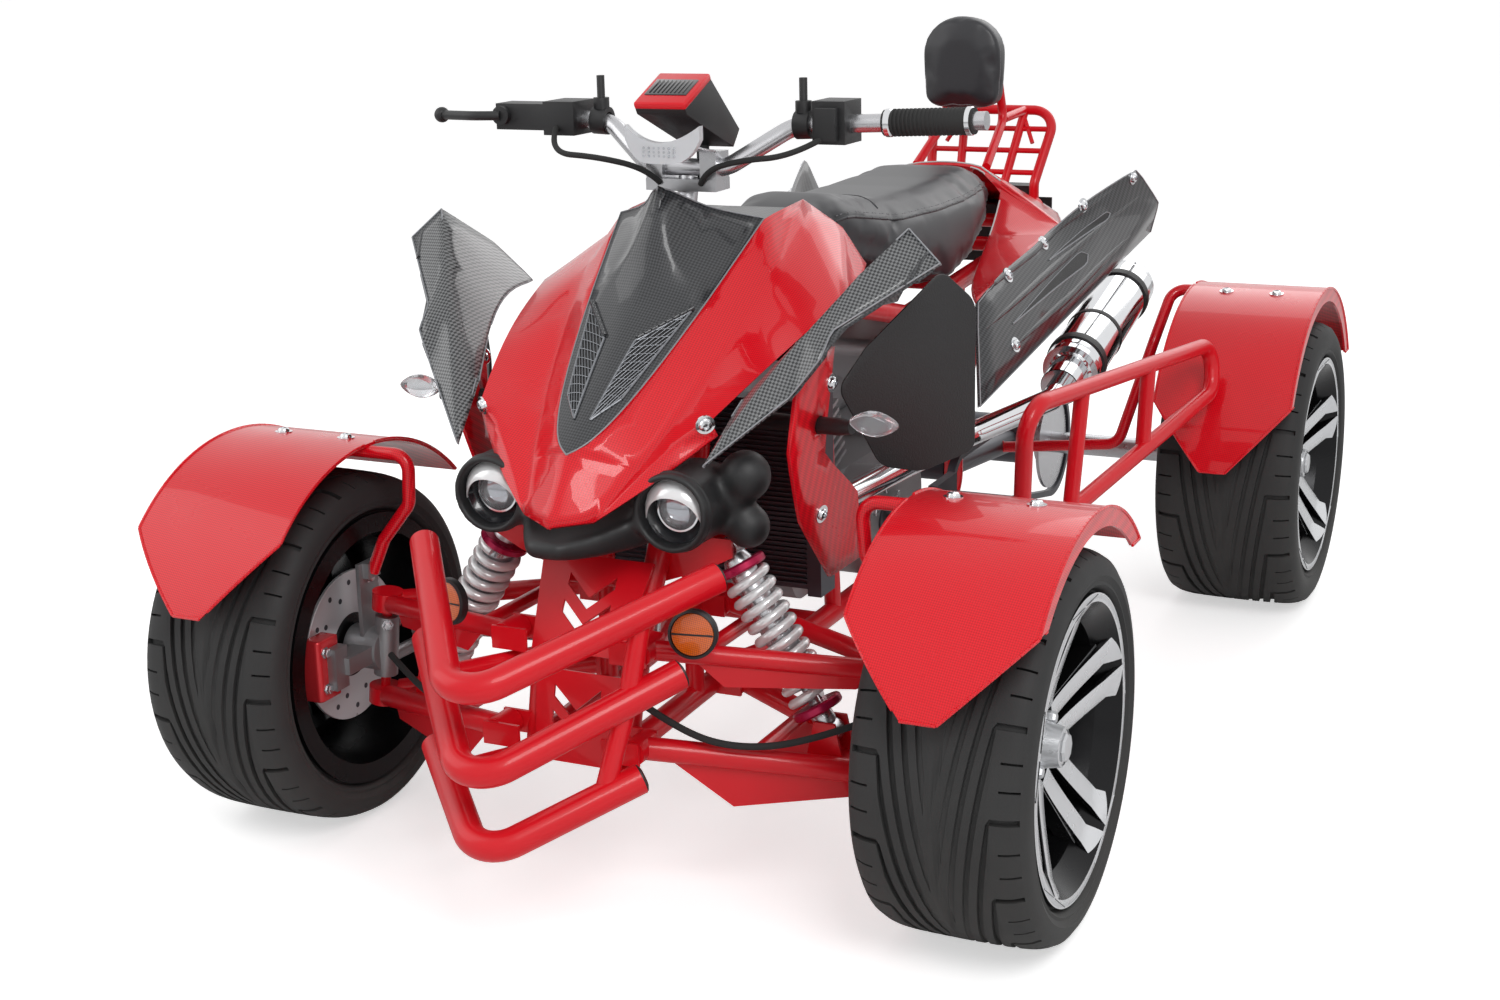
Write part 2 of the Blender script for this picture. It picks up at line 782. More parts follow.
@dataclass
class Bolts:
    """Domed cap screws on washers."""

    nodes: dict[str, Thing]      # what each one is set on
    head: float = 0.0085
    rise: float = 0.0055
    lift: float = 0.01           # how far outside its share of the box the search starts
    left: dict[str, tuple[str, Point, tuple[Point, ...]]] = field(default_factory=lambda: {
        "fender": ("front_fender", (0, 0, 1), ((0.40, 0.60, 1.0), (0.75, 0.60, 1.0))),
        "wing": ("front_wings", (0.6, -0.5, 0.5),
                 ((0.66, 0.50, 0.45), (0.74, 0.66, 0.62), (0.80, 0.84, 0.70))),
        "cheek": ("nose_fairing", (0.5, -0.8, 0.4), ((0.66, 0.20, 0.36),)),
        "shroud": ("side_shrouds", (1, 0, 0), ((1.0, 0.45, 0.30), (1.0, 0.55, 0.85))),
        "rear_fender": ("rear_fenders", (0, 0, 1), ((0.74, 0.45, 1.0), (0.88, 0.45, 1.0))),
        "tail": ("tail_panels", (1, 0, 0.3), ((0.72, 0.25, 0.60), (0.74, 0.45, 0.70), (0.80, 0.62, 0.84),
                                              (0.92, 0.82, 0.94), (0.82, 0.18, 0.25)))})

    def profile(self) -> Profile:
        """Washer, head and socket."""
        washer, shoulder, socket = self.head * 1.45, self.head * 0.82, self.head * 0.42
        return ((0, -0.001), (washer, -0.001), (washer, 0.0014), (self.head, 0.0014), (self.head, 0.0030),
                (shoulder, self.rise), (self.head * 0.46, self.rise + 0.001), (socket, 0.003), (0, 0.003))

    def build(self) -> None:
        """Set every screw on the skin that carries it."""
        for label, (node, outward, spots) in self.left.items():
            for side in SIDES:
                turns = node == "front_fender"
                name = f"{node}_{SIDE_NAMES[side]}" if turns else node
                body = f"knuckle_{SIDE_NAMES[side]}" if turns else "chassis"
                skin, box = Surface(self.nodes[name]), Box(name)
                piece = Piece(f"{label}_bolts_{SIDE_NAMES[side]}", body, CHROME)
                out = Vector(other_side(outward, side))
                for spot in spots:
                    base, normal = skin.seat(box.spot(*spot, side) + out * self.lift, out)
                    piece.lathe(self.profile(), base, normal, 24)
                piece.done()


@dataclass
class Tyre:
    """Low road tyre with swept grooves cut into its tread."""

    radius: float
    width: float
    face: float                 # outer wall, from the middle of the machine
    axle: float                 # where the axle lies
    end: str
    lip: float = 0.193
    bead: float = 0.178
    rows: int = 40              # mesh rows across the tread
    pitches: int = 14           # hooked grooves round each half
    columns: int = 9            # mesh columns to a pitch
    sweep: float = 1.75         # how far a groove runs round the tyre, in radians
    knee: float = 0.62          # share of the half width where a groove bends
    depth: float = 0.0065
    groove: float = 0.0076      # width of a groove
    sipe: float = 0.0030        # width of a short shoulder cut
    grooved: tuple[float, float] = (0.09, 0.93)     # shares of the half width that a groove spans
    cut: tuple[float, float] = (0.72, 0.90)         # and that a shoulder cut spans
    middles: tuple[tuple[int, float], ...] = ((3, 0.36), (6, 0.68))    # column and place of each cut

    @classmethod
    def from_frame(cls, end: str) -> "Tyre":
        """The tyre of the named end, as large and as far out as its CAD node."""
        box = Box(f"tyre_{end}_left")
        return cls(box.size.z / 2, box.size.x, box.high.x, box.middle.y, end)

    def name(self, side: int) -> str:
        """Which wheel this is, in a piece's name."""
        return f"{self.end}_{SIDE_NAMES[side]}"

    def body(self, side: int) -> str:
        """The body that the wheel turns with."""
        return "rear_wheels" if self.end == "rear" else f"wheel_front_{SIDE_NAMES[side]}"

    def place(self, side: int, inset: float) -> Vector:
        """A place on the axle's line, inwards of the outer wall."""
        return Vector(((self.face - inset) * side, self.axle, self.radius))

    def profile(self) -> list[tuple[float, float]]:
        """The closed section as offset from the middle and radius."""
        half, r, lip = self.width / 2, self.radius, self.lip
        wall = [(half - 0.017, self.bead), (half - 0.017, lip + 0.002), (half - 0.008, lip + 0.006),
                (half - 0.003, lip + 0.010), (half - 0.004, lip + 0.014), (half - 0.001, lip + 0.020),
                (half, r - 0.034), (half - 0.001, r - 0.027), (half - 0.003, r - 0.020),
                (half - 0.009, r - 0.011)]
        crown = half - 0.019
        shares = [1 - 2 * i / self.rows for i in range(self.rows + 1)]
        tread = [(crown * t, r - 0.002 * t ** 2 - 0.004 * t ** 8) for t in shares]
        return wall + tread + [(-x, z) for x, z in reversed(wall)]

    def turn_of(self, column: int, offset: float) -> float:
        """The angle that a mesh column has at an offset, beyond its pitch's start.

        Args:
            column: its number within the pitch.
            offset: how far the point lies from the tyre's middle.

        Returns:
            The angle in radians.
        """
        pitch = TURN / self.pitches
        half = self.width / 2
        share = min(1.0, abs(offset) / half)
        inner = share < self.knee
        slope = self.sweep / (self.knee * half) * self.radius if inner else 0.35
        wide = min(self.groove / 2 * math.hypot(1, slope) / self.radius, pitch * 0.26)
        first = self.columns // 2 if offset < 0 else 0
        rest = pitch - 2 * wide
        marks = {0: -wide, 1: wide}
        for number, middle in self.middles:
            spread = rest * 0.06 if inner else self.sipe / 2 / self.radius
            marks[number] = wide + rest * middle - spread
            marks[number + 1] = wide + rest * middle + spread
        marks[2] = (marks[1] + marks[3]) / 2
        marks[5] = (marks[4] + marks[6]) / 2
        marks[8] = (marks[7] + pitch - wide) / 2
        place = marks[(column - first) % self.columns] + pitch * first / self.columns
        if column < first:
            place -= pitch
        ease = min(1.0, share / 0.07)
        fan = self.sweep * max(0.0, 1 - share / self.knee)
        return pitch * column / self.columns * (1 - ease) + place * ease + fan

    def is_cut(self, column: int, offset: float) -> bool:
        """Whether a tread face belongs to a groove or a shoulder cut.

        Args:
            column: the mesh column that the face starts at.
            offset: how far the face lies from the tyre's middle.
        """
        share = abs(offset) / (self.width / 2)
        local = (column - (self.columns // 2 if offset < 0 else 0)) % self.columns
        if local == 0:
            return self.grooved[0] < share < self.grooved[1]
        return local in dict(self.middles) and self.cut[0] < share < self.cut[1]

    def build(self, side: int) -> None:
        """Turn the section, lay the columns along the grooves, and cut them in.

        Args:
            side: 1 for the rider's left, -1 for the right.
        """
        piece = Piece(f"tread_tyre_{self.name(side)}", self.body(side), RUBBER)
        bm = piece.bm
        ring = [bm.verts.new((x, r, 0)) for x, r in self.profile()]
        edges = [bm.edges.new((ring[i - 1], ring[i])) for i in range(len(ring))]
        steps = self.pitches * self.columns
        bmesh.ops.spin(bm, geom=ring + edges, cent=(0, 0, 0), axis=(1, 0, 0), angle=TURN, steps=steps,
                       use_merge=True, use_duplicate=False)
        bmesh.ops.remove_doubles(bm, verts=bm.verts, dist=1e-6)
        bmesh.ops.recalc_face_normals(bm, faces=bm.faces)
        step = TURN / steps
        half = self.width / 2
        cut = []
        for face in bm.faces:
            middle = face.calc_center_median()
            if math.hypot(middle.y, middle.z) > self.radius - 0.012 and abs(middle.x) < half - 0.012:
                number = int((math.atan2(middle.z, middle.y) % TURN) / step)
                if self.is_cut(number % self.columns, middle.x):
                    cut.append(face)
        for vert in bm.verts:
            far = math.hypot(vert.co.y, vert.co.z)
            if far > self.radius - 0.015:
                number = round((math.atan2(vert.co.z, vert.co.y) % TURN) / step) % steps
                pitch, column = divmod(number, self.columns)
                angle = pitch * self.columns * step + self.turn_of(column, vert.co.x)
                vert.co = Vector((vert.co.x, far * math.cos(angle), far * math.sin(angle)))
        bmesh.ops.inset_region(bm, faces=cut, thickness=0.0006, depth=-self.depth, use_even_offset=False)
        bmesh.ops.transform(bm, matrix=Matrix.Translation(self.place(side, half)), verts=bm.verts)
        piece.done([f"tyre_{self.name(side)}"], 32)


RIM_LIP = ((0.1832, -0.006), (0.1832, -0.0008), (0.1860, 0.0004), (0.1905, 0.0004), (0.1928, -0.0008),
           (0.1928, -0.003), (0.1832, -0.006))
HUB_SLEEVE = ((0.0290, 0.0), (0.0308, 0.0006), (0.0248, 0.0302), (0.0222, 0.0312))
AXLE_NUT = ((0.0225, 0.012), (0.0225, 0.022), (0.019, 0.025), (0.019, 0.033), (0.0165, 0.036), (0, 0.037))
WHEEL_NUT = ((0, 0), (0.0088, 0), (0.0088, 0.009), (0.0064, 0.013), (0, 0.0135))
BRAKE_FACE = ((0.046, -0.0026), (0.1075, -0.0026), (0.1082, -0.0020), (0.1082, 0.0020), (0.1075, 0.0026),
              (0.046, 0.0026), (0.046, -0.0026))
DRILLING = ((0, -0.0029), (0.0040, -0.0029), (0.0040, 0.0029), (0, 0.0029))


@dataclass
class Wheels:
    """The four dressed wheels."""

    flange: float = 0.0062       # inset of the rim's lip from the tyre's wall
    dish: float = 0.060          # inset of the hub's face
    nut_circle: float = 0.037
    root: float = 0.040          # radii between which a spoke's face runs
    tip: float = 0.184
    root_inset: float = 0.062    # insets of the spoke's face there
    tip_inset: float = 0.0185
    flare_from: float = 0.80     # share of the spoke where it starts to widen towards the lip
    disc_plane: float = 0.034    # from the caliper's inner face to the disc's middle
    drilled: tuple[tuple[float, int], ...] = ((0.092, 12), (0.074, 10))    # radius and count of each ring

    def build(self) -> None:
        """Build the tyres and the hub pieces."""
        for tyre in (Tyre.from_frame("front"), Tyre.from_frame("rear")):
            for side in SIDES:
                tyre.build(side)
                self.hub(tyre, side)
                if tyre.end == "front":
                    self.brake(tyre, side)
                self.spokes(tyre, side)

    def spoke(self, tyre: Tyre, lean: int) -> bmesh.types.BMesh:
        """Half of one twin spoke's turned face, pointing up.

        Args:
            tyre: the tyre that it sits in.
            lean: 1 or -1, which half.

        Returns:
            Its mesh.
        """
        work = bmesh.new()
        bmesh.ops.create_cube(work, size=1.0)
        posts = [e for e in work.edges if abs((e.verts[0].co - e.verts[1].co).z) > 0.5]
        bmesh.ops.subdivide_edges(work, edges=posts, cuts=9)
        low, high = tyre.face - self.root_inset, tyre.face - self.tip_inset
        for vert in work.verts:
            along = vert.co.z + 0.5
            flare = max(0.0, along - self.flare_from) / (1 - self.flare_from)
            spread = 0.026 + 0.003 * along + 0.020 * flare
            level = low + (high - low) * along ** 1.25 + 0.0070 * flare
            across = 0.0125 * lean + vert.co.y * spread + lean * (0.006 + 0.010 * along)
            vert.co = Vector((level + 0.0035 + vert.co.x * 0.007, across,
                              self.root + (self.tip - self.root) * along))
        bmesh.ops.bevel(work, geom=[e for e in work.edges if e.calc_face_angle(0) > 0.9], offset=0.0012,
                        affect="EDGES", segments=2, profile=0.5, material=-1)
        return work

    def spokes(self, tyre: Tyre, side: int) -> None:
        """Wide turned faces over the twin spokes, flared where they meet the rim.

        Args:
            tyre: the tyre that they sit in.
            side: 1 for left, -1 for right.
        """
        piece = Piece(f"spoke_faces_{tyre.name(side)}", tyre.body(side), ALLOY)
        place = Matrix.Translation(Vector((0, tyre.axle, tyre.radius)))
        for turn in range(10):
            work = self.spoke(tyre, 1 if turn % 2 else -1)
            piece.take(work, place @ Matrix.Rotation(TURN / 5 * (turn // 2), 4, "X"))
        if side < 0:
            bmesh.ops.transform(piece.bm, matrix=Matrix.Scale(-1, 4, (1, 0, 0)), verts=piece.bm.verts)
            bmesh.ops.reverse_faces(piece.bm, faces=piece.bm.faces)
        piece.done()

    def hub(self, tyre: Tyre, side: int) -> None:
        """Rim lip, hub cap and wheel nuts of one wheel.

        Args:
            tyre: the tyre that they sit in.
            side: 1 for left, -1 for right.
        """
        axis = Vector((side, 0, 0))
        turned(f"rim_lip_{tyre.name(side)}", tyre.body(side), SATIN, RIM_LIP, tyre.place(side, self.flange),
               axis, 96)
        base = tyre.place(side, self.dish)
        piece = Piece(f"hub_nuts_{tyre.name(side)}", tyre.body(side), SATIN)
        piece.lathe(HUB_SLEEVE, base, axis, 40)
        piece.lathe(AXLE_NUT, base, axis, 8)
        for turn in range(4):
            piece.lathe(WHEEL_NUT, base + round_axle(TURN * (turn + 0.5) / 4, self.nut_circle), axis, 6)
        piece.done()

    def brake(self, tyre: Tyre, side: int) -> None:
        """Ground faces and drillings of a front brake disc.

        Args:
            tyre: the tyre that it turns with.
            side: 1 for left, -1 for right.
        """
        label, axis = SIDE_NAMES[side], Vector((side, 0, 0))
        caliper = Box(f"caliper_{label}")
        inner = min(abs(caliper.low.x), abs(caliper.high.x))
        middle = Vector((side * (inner + self.disc_plane), tyre.axle, tyre.radius))
        turned(f"brake_face_{label}", tyre.body(side), SATIN, BRAKE_FACE, middle, axis, 72)
        holes = Piece(f"brake_drillings_{label}", tyre.body(side), DARK)
        for ring, count in self.drilled:
            for turn in range(count):
                holes.lathe(DRILLING, middle + round_axle(TURN * turn / count, ring), axis, 14)
        holes.done()


# ------------------------------------------------------------ lamps and reflectors
REFLECTOR_RING = ((0, -0.006), (0.031, -0.006), (0.031, 0.004), (0.0275, 0.006), (0.0270, 0.002), (0, 0.002))
REFLECTOR_DISC = ((0, 0.0018), (0.0268, 0.0018), (0.0262, 0.0042), (0.020, 0.0056), (0, 0.006))
BULB = ((0, -0.0150), (0.011, -0.0145), (0.015, -0.0120), (0.015, -0.0155), (0, -0.0158))


@dataclass
class Lamps:
    """Projector headlamps, their lids, and the amber reflectors."""

    lens: float = 0.026
    dome: float = 0.62           # height of the lens over its radius
    bowl: float = 0.0405
    depth: float = 0.036         # from the front of the CAD lamp to the middle of this one
    reflector: Point = (0.78, 0.83, 0.72)        # shares of the bumper's box
    lid_turns: tuple[float, float] = (197, -15)  # degrees, from the lid's outer end to its inner one

    def build(self) -> None:
        """Build both sides."""
        for side in SIDES:
            self.headlamp(side)
            self.mark(side)

    def headlamp(self, side: int) -> None:
        """Bezel, bowl, reflector, lens and lid of one lamp.

        Args:
            side: 1 for left, -1 for right.
        """
        label, front, lens, bowl = SIDE_NAMES[side], Vector((0, -1, 0)), self.lens, self.bowl
        lamp = Box("headlamps")
        reach = lamp.size.z / 2
        base = Vector((side * (lamp.high.x - reach), lamp.low.y + self.depth, lamp.middle.z))
        ring = [(reach + 0.0055 + 0.0050 * math.cos(a * math.pi / 8),
                 0.012 + 0.0060 * math.sin(a * math.pi / 8)) for a in range(17)]
        turned(f"headlamp_bezel_{label}", "chassis", PLASTIC, ring, base, front, 56)
        cup = ((0, -0.020), (lens, -0.018), (lens + 0.002, -0.004), (bowl, 0.008), (bowl + 0.0010, 0.010),
               (bowl + 0.0010, -0.024), (0, -0.024))
        turned(f"headlamp_bowl_{label}", "chassis", DISPLAY, cup, base, front, 48,
               ["headlamps"] if side == 1 else ())
        rim = Piece(f"headlamp_reflector_{label}", "chassis", CHROME)
        rim.lathe(((lens - 0.002, -0.002), (lens + 0.0005, 0.0015), (lens + 0.0030, 0.0015),
                   (lens + 0.0036, -0.002)), base, front, 48)
        rim.lathe(BULB, base, front, 32)
        rim.done()
        dome = [(lens * math.cos(a * math.pi / 20), lens * self.dome * math.sin(a * math.pi / 20))
                for a in range(11)]
        turned(f"headlamp_lens_{label}", "chassis", GLASS, [(0, -0.016), *dome], base, front, 48)
        self.lid(base, side)

    def mark(self, side: int) -> None:
        """The amber reflector by the bumper, with its ring and its upright line.

        Args:
            side: 1 for left, -1 for right.
        """
        label = SIDE_NAMES[side]
        spot = Box("bumper").spot(*self.reflector, side)
        out = Vector((0.25 * side, -0.95, 0.1)).normalized()
        turned(f"reflector_ring_{label}", "chassis", PLASTIC, REFLECTOR_RING, spot, out, 48)
        turned(f"reflector_{label}", "chassis", AMBER, REFLECTOR_DISC, spot, out, 48)
        line = Piece(f"reflector_line_{label}", "chassis", PLASTIC)
        line.slab((0.0012, 0.052, 0.0022), facing(spot + out * 0.0060, out, Vector((1, 0, 0))), 0.0004)
        line.done()

    def lid(self, base: Vector, side: int) -> None:
        """The pale crescent visor over a lens, its outer end lower than its inner one.

        Args:
            base: middle of the lamp.
            side: 1 for left, -1 for right.
        """
        lid = Piece(f"headlamp_lid_{SIDE_NAMES[side]}", "chassis", SPRING)
        bmesh.ops.create_grid(lid.bm, x_segments=36, y_segments=6, size=0.5)
        outer, inner = self.lid_turns
        for vert in lid.bm.verts:
            along, inward = vert.co.x + 0.5, vert.co.y + 0.5
            angle = math.radians(outer + (inner - outer) * along)
            swell = math.sin(math.pi * along) ** 0.8
            radius = self.bowl + 0.0005 - inward * (0.0015 + 0.0190 * swell)
            ahead = 0.009 + (0.004 + 0.013 * swell) * math.sin(inward * math.pi / 2)
            vert.co = base + Vector((side * radius * math.cos(angle), -ahead, radius * math.sin(angle)))
        thicken(lid.bm, 0.0022)
        lid.done()


# ------------------------------------------------------------ soft pieces
@dataclass
class Pad:
    """A stuffed piece swelled by cloth simulation from its CAD solid."""

    node: str
    body: str
    fill: float
    voxel: float = 0.007
    cap: float = 0.008
    pressure: float = 3.0
    frames: int = 16             # how long the cloth is simulated

    def build(self, source: Thing) -> Thing:
        """Copy, remesh, swell and finish.

        Args:
            source: the CAD node's object.

        Returns:
            The finished pad.
        """
        pad = wrapped(source, f"{self.node}_pad", self.voxel)
        self.swell(pad)
        bake(pad, "SMOOTH", factor=0.5, iterations=4)
        bake(pad, "SUBSURF", levels=1, render_levels=1)
        coat(pad, LEATHER)
        hand_over(pad, self.body, [self.node])
        return pad

    def swell(self, pad: Thing) -> None:
        """Blow the cover up a little and hold each point within the cap.

        Args:
            pad: the object.
        """
        start = [v.co.copy() for v in pad.data.vertices]
        settings = pad.modifiers.new("cloth", "CLOTH").settings
        settings.use_pressure = True
        settings.uniform_pressure_force = self.pressure
        settings.effector_weights.gravity = 0
        scene = bpy.context.scene
        for frame_number in range(1, self.frames + 1):
            scene.frame_set(frame_number)
        shaped = pad.evaluated_get(bpy.context.evaluated_depsgraph_get()).to_mesh()
        ends = [v.co.copy() for v in shaped.vertices]
        pad.modifiers.clear()
        for vert, first, last in zip(pad.data.vertices, start, ends):
            move = last - first
            if move.length > self.cap:
                move *= self.cap / move.length
            vert.co = first + move
        scene.frame_set(1)


# ------------------------------------------------------------ cords
@dataclass
class Cords:
    """Brake hoses and control cables as smooth cords on their source routes."""

    hose: tuple[Point, ...] = ((88, -800, 292), (150, -800, 258), (215, -780, 238), (285, -735, 238),
                               (350, -700, 262))
    right_cable: tuple[Point, ...] = ((-206, -430, 960), (-190, -482, 932), (-110, -492, 930),
                                      (-44, -474, 914), (-30, -462, 894))
    left_cable: tuple[Point, ...] = ((196, -432, 956), (170, -478, 936), (100, -488, 930),
                                     (44, -474, 914), (30, -462, 894))

    def build(self) -> None:
        """Lay all four."""
        for side in SIDES:
            self.lay(f"brake_hose_{SIDE_NAMES[side]}", [other_side(p, side) for p in self.hose], 0.009,
                     "chassis", ["brake_hoses"] if side == 1 else [])
        self.lay("cable_right", self.right_cable, 0.008, "steering", ["cables"])
        self.lay("cable_left", self.left_cable, 0.008, "steering", [])

    @staticmethod
    def reach(curve: bpy.types.Curve) -> float:
        """The length of a cord's middle line.

        Args:
            curve: the cord's curve, left as it is.

        Returns:
            The length in metres.
        """
        line = curve.copy()
        line.bevel_depth = 0
        probe = linked("probe", line)
        track = bpy.data.meshes.new_from_object(probe)
        spots = [v.co for v in track.vertices]
        length = sum((spots[e.vertices[0]] - spots[e.vertices[1]]).length for e in track.edges)
        bpy.data.objects.remove(probe)
        bpy.data.curves.remove(line)
        return length

    def lay(self, name: str, route: Sequence[Point], diameter: float, body: str,
            replaces: Sequence[str]) -> None:
        """One cord along its route.

        Args:
            name: its name.
            route: the source's points, in millimetres.
            diameter: in metres.
            body: the body that it rides on.
            replaces: the CAD node that it stands for.
        """
        curve = bpy.data.curves.new(name, "CURVE")
        curve.dimensions = "3D"
        curve.bevel_depth = diameter / 2
        curve.bevel_resolution = 4
        curve.use_fill_caps = True
        spline = curve.splines.new("NURBS")
        spline.points.add(len(route) - 1)
        for point, station in zip(spline.points, route):
            point.co = (*at(*station), 1.0)
        spline.order_u = 3
        spline.use_endpoint_u = True
        spline.resolution_u = 12
        cord = linked(name, curve)
        curve.materials.append(GRIP.build())
        hand_over(cord, body, replaces)
        self.reach(curve)


# ------------------------------------------------------------ cockpit and trim
BUTTON = ((0, -0.001), (0.0036, -0.001), (0.0036, 0.0016), (0.0026, 0.0026), (0, 0.0028))


@dataclass
class Cockpit:
    """Red gauge frame and display, grip collars and ribs, keys and buttons."""

    slope: float = math.atan2(32, 76)        # of the gauge's face
    gauge: Point = (0.074, 0.084, 0.010)
    screen: Point = (0.060, 0.042, 0.004)
    grip: float = 0.017                      # half the grip's thickness
    switch_depth: float = 0.048              # from the front face of the switches to their rear one

    def build(self) -> None:
        """Build the small cockpit pieces."""
        self.dash()
        self.grips()
        self.switches()

    def dash(self) -> None:
        """The gauge's red frame and its ribbed display."""
        gauge, tilt = Box("gauge"), Matrix.Rotation(self.slope, 4, "X")
        middle = Vector((gauge.middle.x, gauge.low.y + 0.038, gauge.high.z - 0.015))
        face = Matrix.Translation(middle) @ tilt
        frame_piece = Piece("gauge_frame", "steering", PAINT, "body_red")
        frame_piece.slab(self.gauge, face, 0.003)
        frame_piece.done()
        screen = Piece("gauge_display", "steering", DISPLAY)
        raised = face @ Matrix.Translation((0, 0, 0.0045))
        screen.slab(self.screen, raised, 0.001)
        for rib in range(9):
            screen.slab((0.0016, 0.034, 0.003), raised @ Matrix.Translation((0.006 * (rib - 4), 0, 0.0018)),
                        0.0004)
        screen.done()

    def grips(self) -> None:
        """Collars at both ends of the grip and ribs between them."""
        box, reach = Box("grips"), self.grip
        inner = Vector((box.low.x, box.high.y - reach - 0.0015, box.low.z + reach))
        outer = Vector((box.high.x, box.low.y + reach + 0.0015, box.high.z - reach))
        line = (outer - inner).normalized()
        for name, finish, shares, half, radius in (
                ("grip_collars", CHROME, (0.06, 0.94), 0.005, 0.0185),
                ("grip_ribs", GRIP, [0.12 + 0.76 * step / 17 for step in range(18)], 0.0014, 0.0180)):
            piece = Piece(name, "steering", finish)
            for share in shares:
                spot = inner.lerp(outer, share)
                piece.bar(spot - line * half, spot + line * half, radius, 32)
            piece.done()

    def switches(self) -> None:
        """A red key and three buttons on both faces of the left switch block."""
        box = Box("controls")
        keys = Piece("switch_keys", "steering", CALIPER)
        buttons = Piece("switch_buttons", "steering", EDGE, "steel")
        for way, level in ((1, box.high.y), (-1, box.high.y - self.switch_depth)):
            face = Vector((box.high.x - 0.023, level, box.low.z + 0.024))
            keys.slab((0.016, 0.005, 0.008), Matrix.Translation(face + Vector((0, 0, 0.014))), 0.0012)
            for step in range(3):
                buttons.lathe(BUTTON, face + Vector((0.012 * (step - 1), 0, -0.002)), Vector((0, way, 0)), 16)
        keys.done()
        buttons.done()


def damper_eyes(side: int, reach: float = 0.015) -> tuple[Vector, Vector]:
    """The upper and lower eye of a front damper, from its node's box."""
    box = Box("front_shocks")
    low = Vector((side * (box.high.x - reach), box.middle.y, box.low.z + reach))
    return Vector((side * box.high.x * 0.515, box.middle.y, box.high.z - reach)), low


TUBE_PLUG = ((0, -0.002), (0.0175, -0.002), (0.0175, 0.002), (0.012, 0.0045), (0, 0.005))


@dataclass
class FrontTrim:
    """End plugs of the bumper tubes and the coloured shock collars."""

    nodes: dict[str, Thing]
    tiers: tuple[Point, ...] = ((0.93, 0.85, 0.94), (0.80, 0.69, 0.61), (0.65, 0.55, 0.24))
    collar: float = 0.012        # height of a collar
    collar_radius: float = 0.034
    from_eyes: tuple[float, float] = (0.022, 0.041)      # from the upper and the lower eye to a collar

    def build(self) -> None:
        """Build plugs and collars."""
        plugs = Piece("bumper_plugs", "chassis", PLASTIC)
        collars = Piece("shock_collars", "chassis", COLLAR)
        skin, bumper = Surface(self.nodes["bumper"]), Box("bumper")
        for side in SIDES:
            for tier in self.tiers:
                tip, way = skin.disc(bumper.spot(*tier, side), Vector((0.6 * side, 0.7, 0.3)))
                plugs.lathe(TUBE_PLUG, tip, way, 32)
            top, low = damper_eyes(side)
            axis = (low - top).normalized()
            for along in (self.from_eyes[0], (low - top).length - self.from_eyes[1]):
                collars.bar(top + axis * along, top + axis * (along + self.collar), self.collar_radius, 40)
        plugs.done()
        collars.done()


# ------------------------------------------------------------ body shells and their trim
@dataclass
class SmoothShell:
    """A moulded panel: the CAD panel's own shape with its flats blended and its creases kept."""

    finish: Finish
    crease_over: float = 24.0    # degrees
    crease: float = 0.55
    sharp_over: float = 60.0     # degrees
    levels: int = 2

    def build(self, node: str, source: Thing) -> Thing:
        """Weld, crease and subdivide a copy.

        Args:
            node: the CAD node.
            source: its object.

        Returns:
            The finished shell.
        """
        work = welded(source.data)
        bmesh.ops.triangulate(work, faces=[f for f in work.faces if len(f.verts) > 4])
        layer = work.edges.layers.float.new("crease_edge")
        for edge in work.edges:
            bend = math.degrees(edge.calc_face_angle(math.pi))
            edge[layer] = 1.0 if bend > self.sharp_over else self.crease if bend > self.crease_over else 0.0
        mesh = bpy.data.meshes.new(f"{node}_shell")
        work.to_mesh(mesh)
        work.free()
        shell = linked(f"{node}_shell", mesh)
        bake(shell, "SUBSURF", levels=self.levels, render_levels=self.levels)
        coat(shell, self.finish)
        shell.data.set_sharp_from_angle(angle=math.radians(50))
        hand_over(shell, "chassis", [node])
        return shell


def melted_housing(source: Thing) -> None:
    """The lamp housing as one moulding, its lumps blended into each other.

    Args:
        source: the CAD node's object.
    """
    thing = wrapped(source, "lamp_housing_moulding", 0.0040)
    bake(thing, "SMOOTH", factor=0.5, iterations=40)
    coat(thing, PLASTIC)
    hand_over(thing, "chassis", ["lamp_housing"])


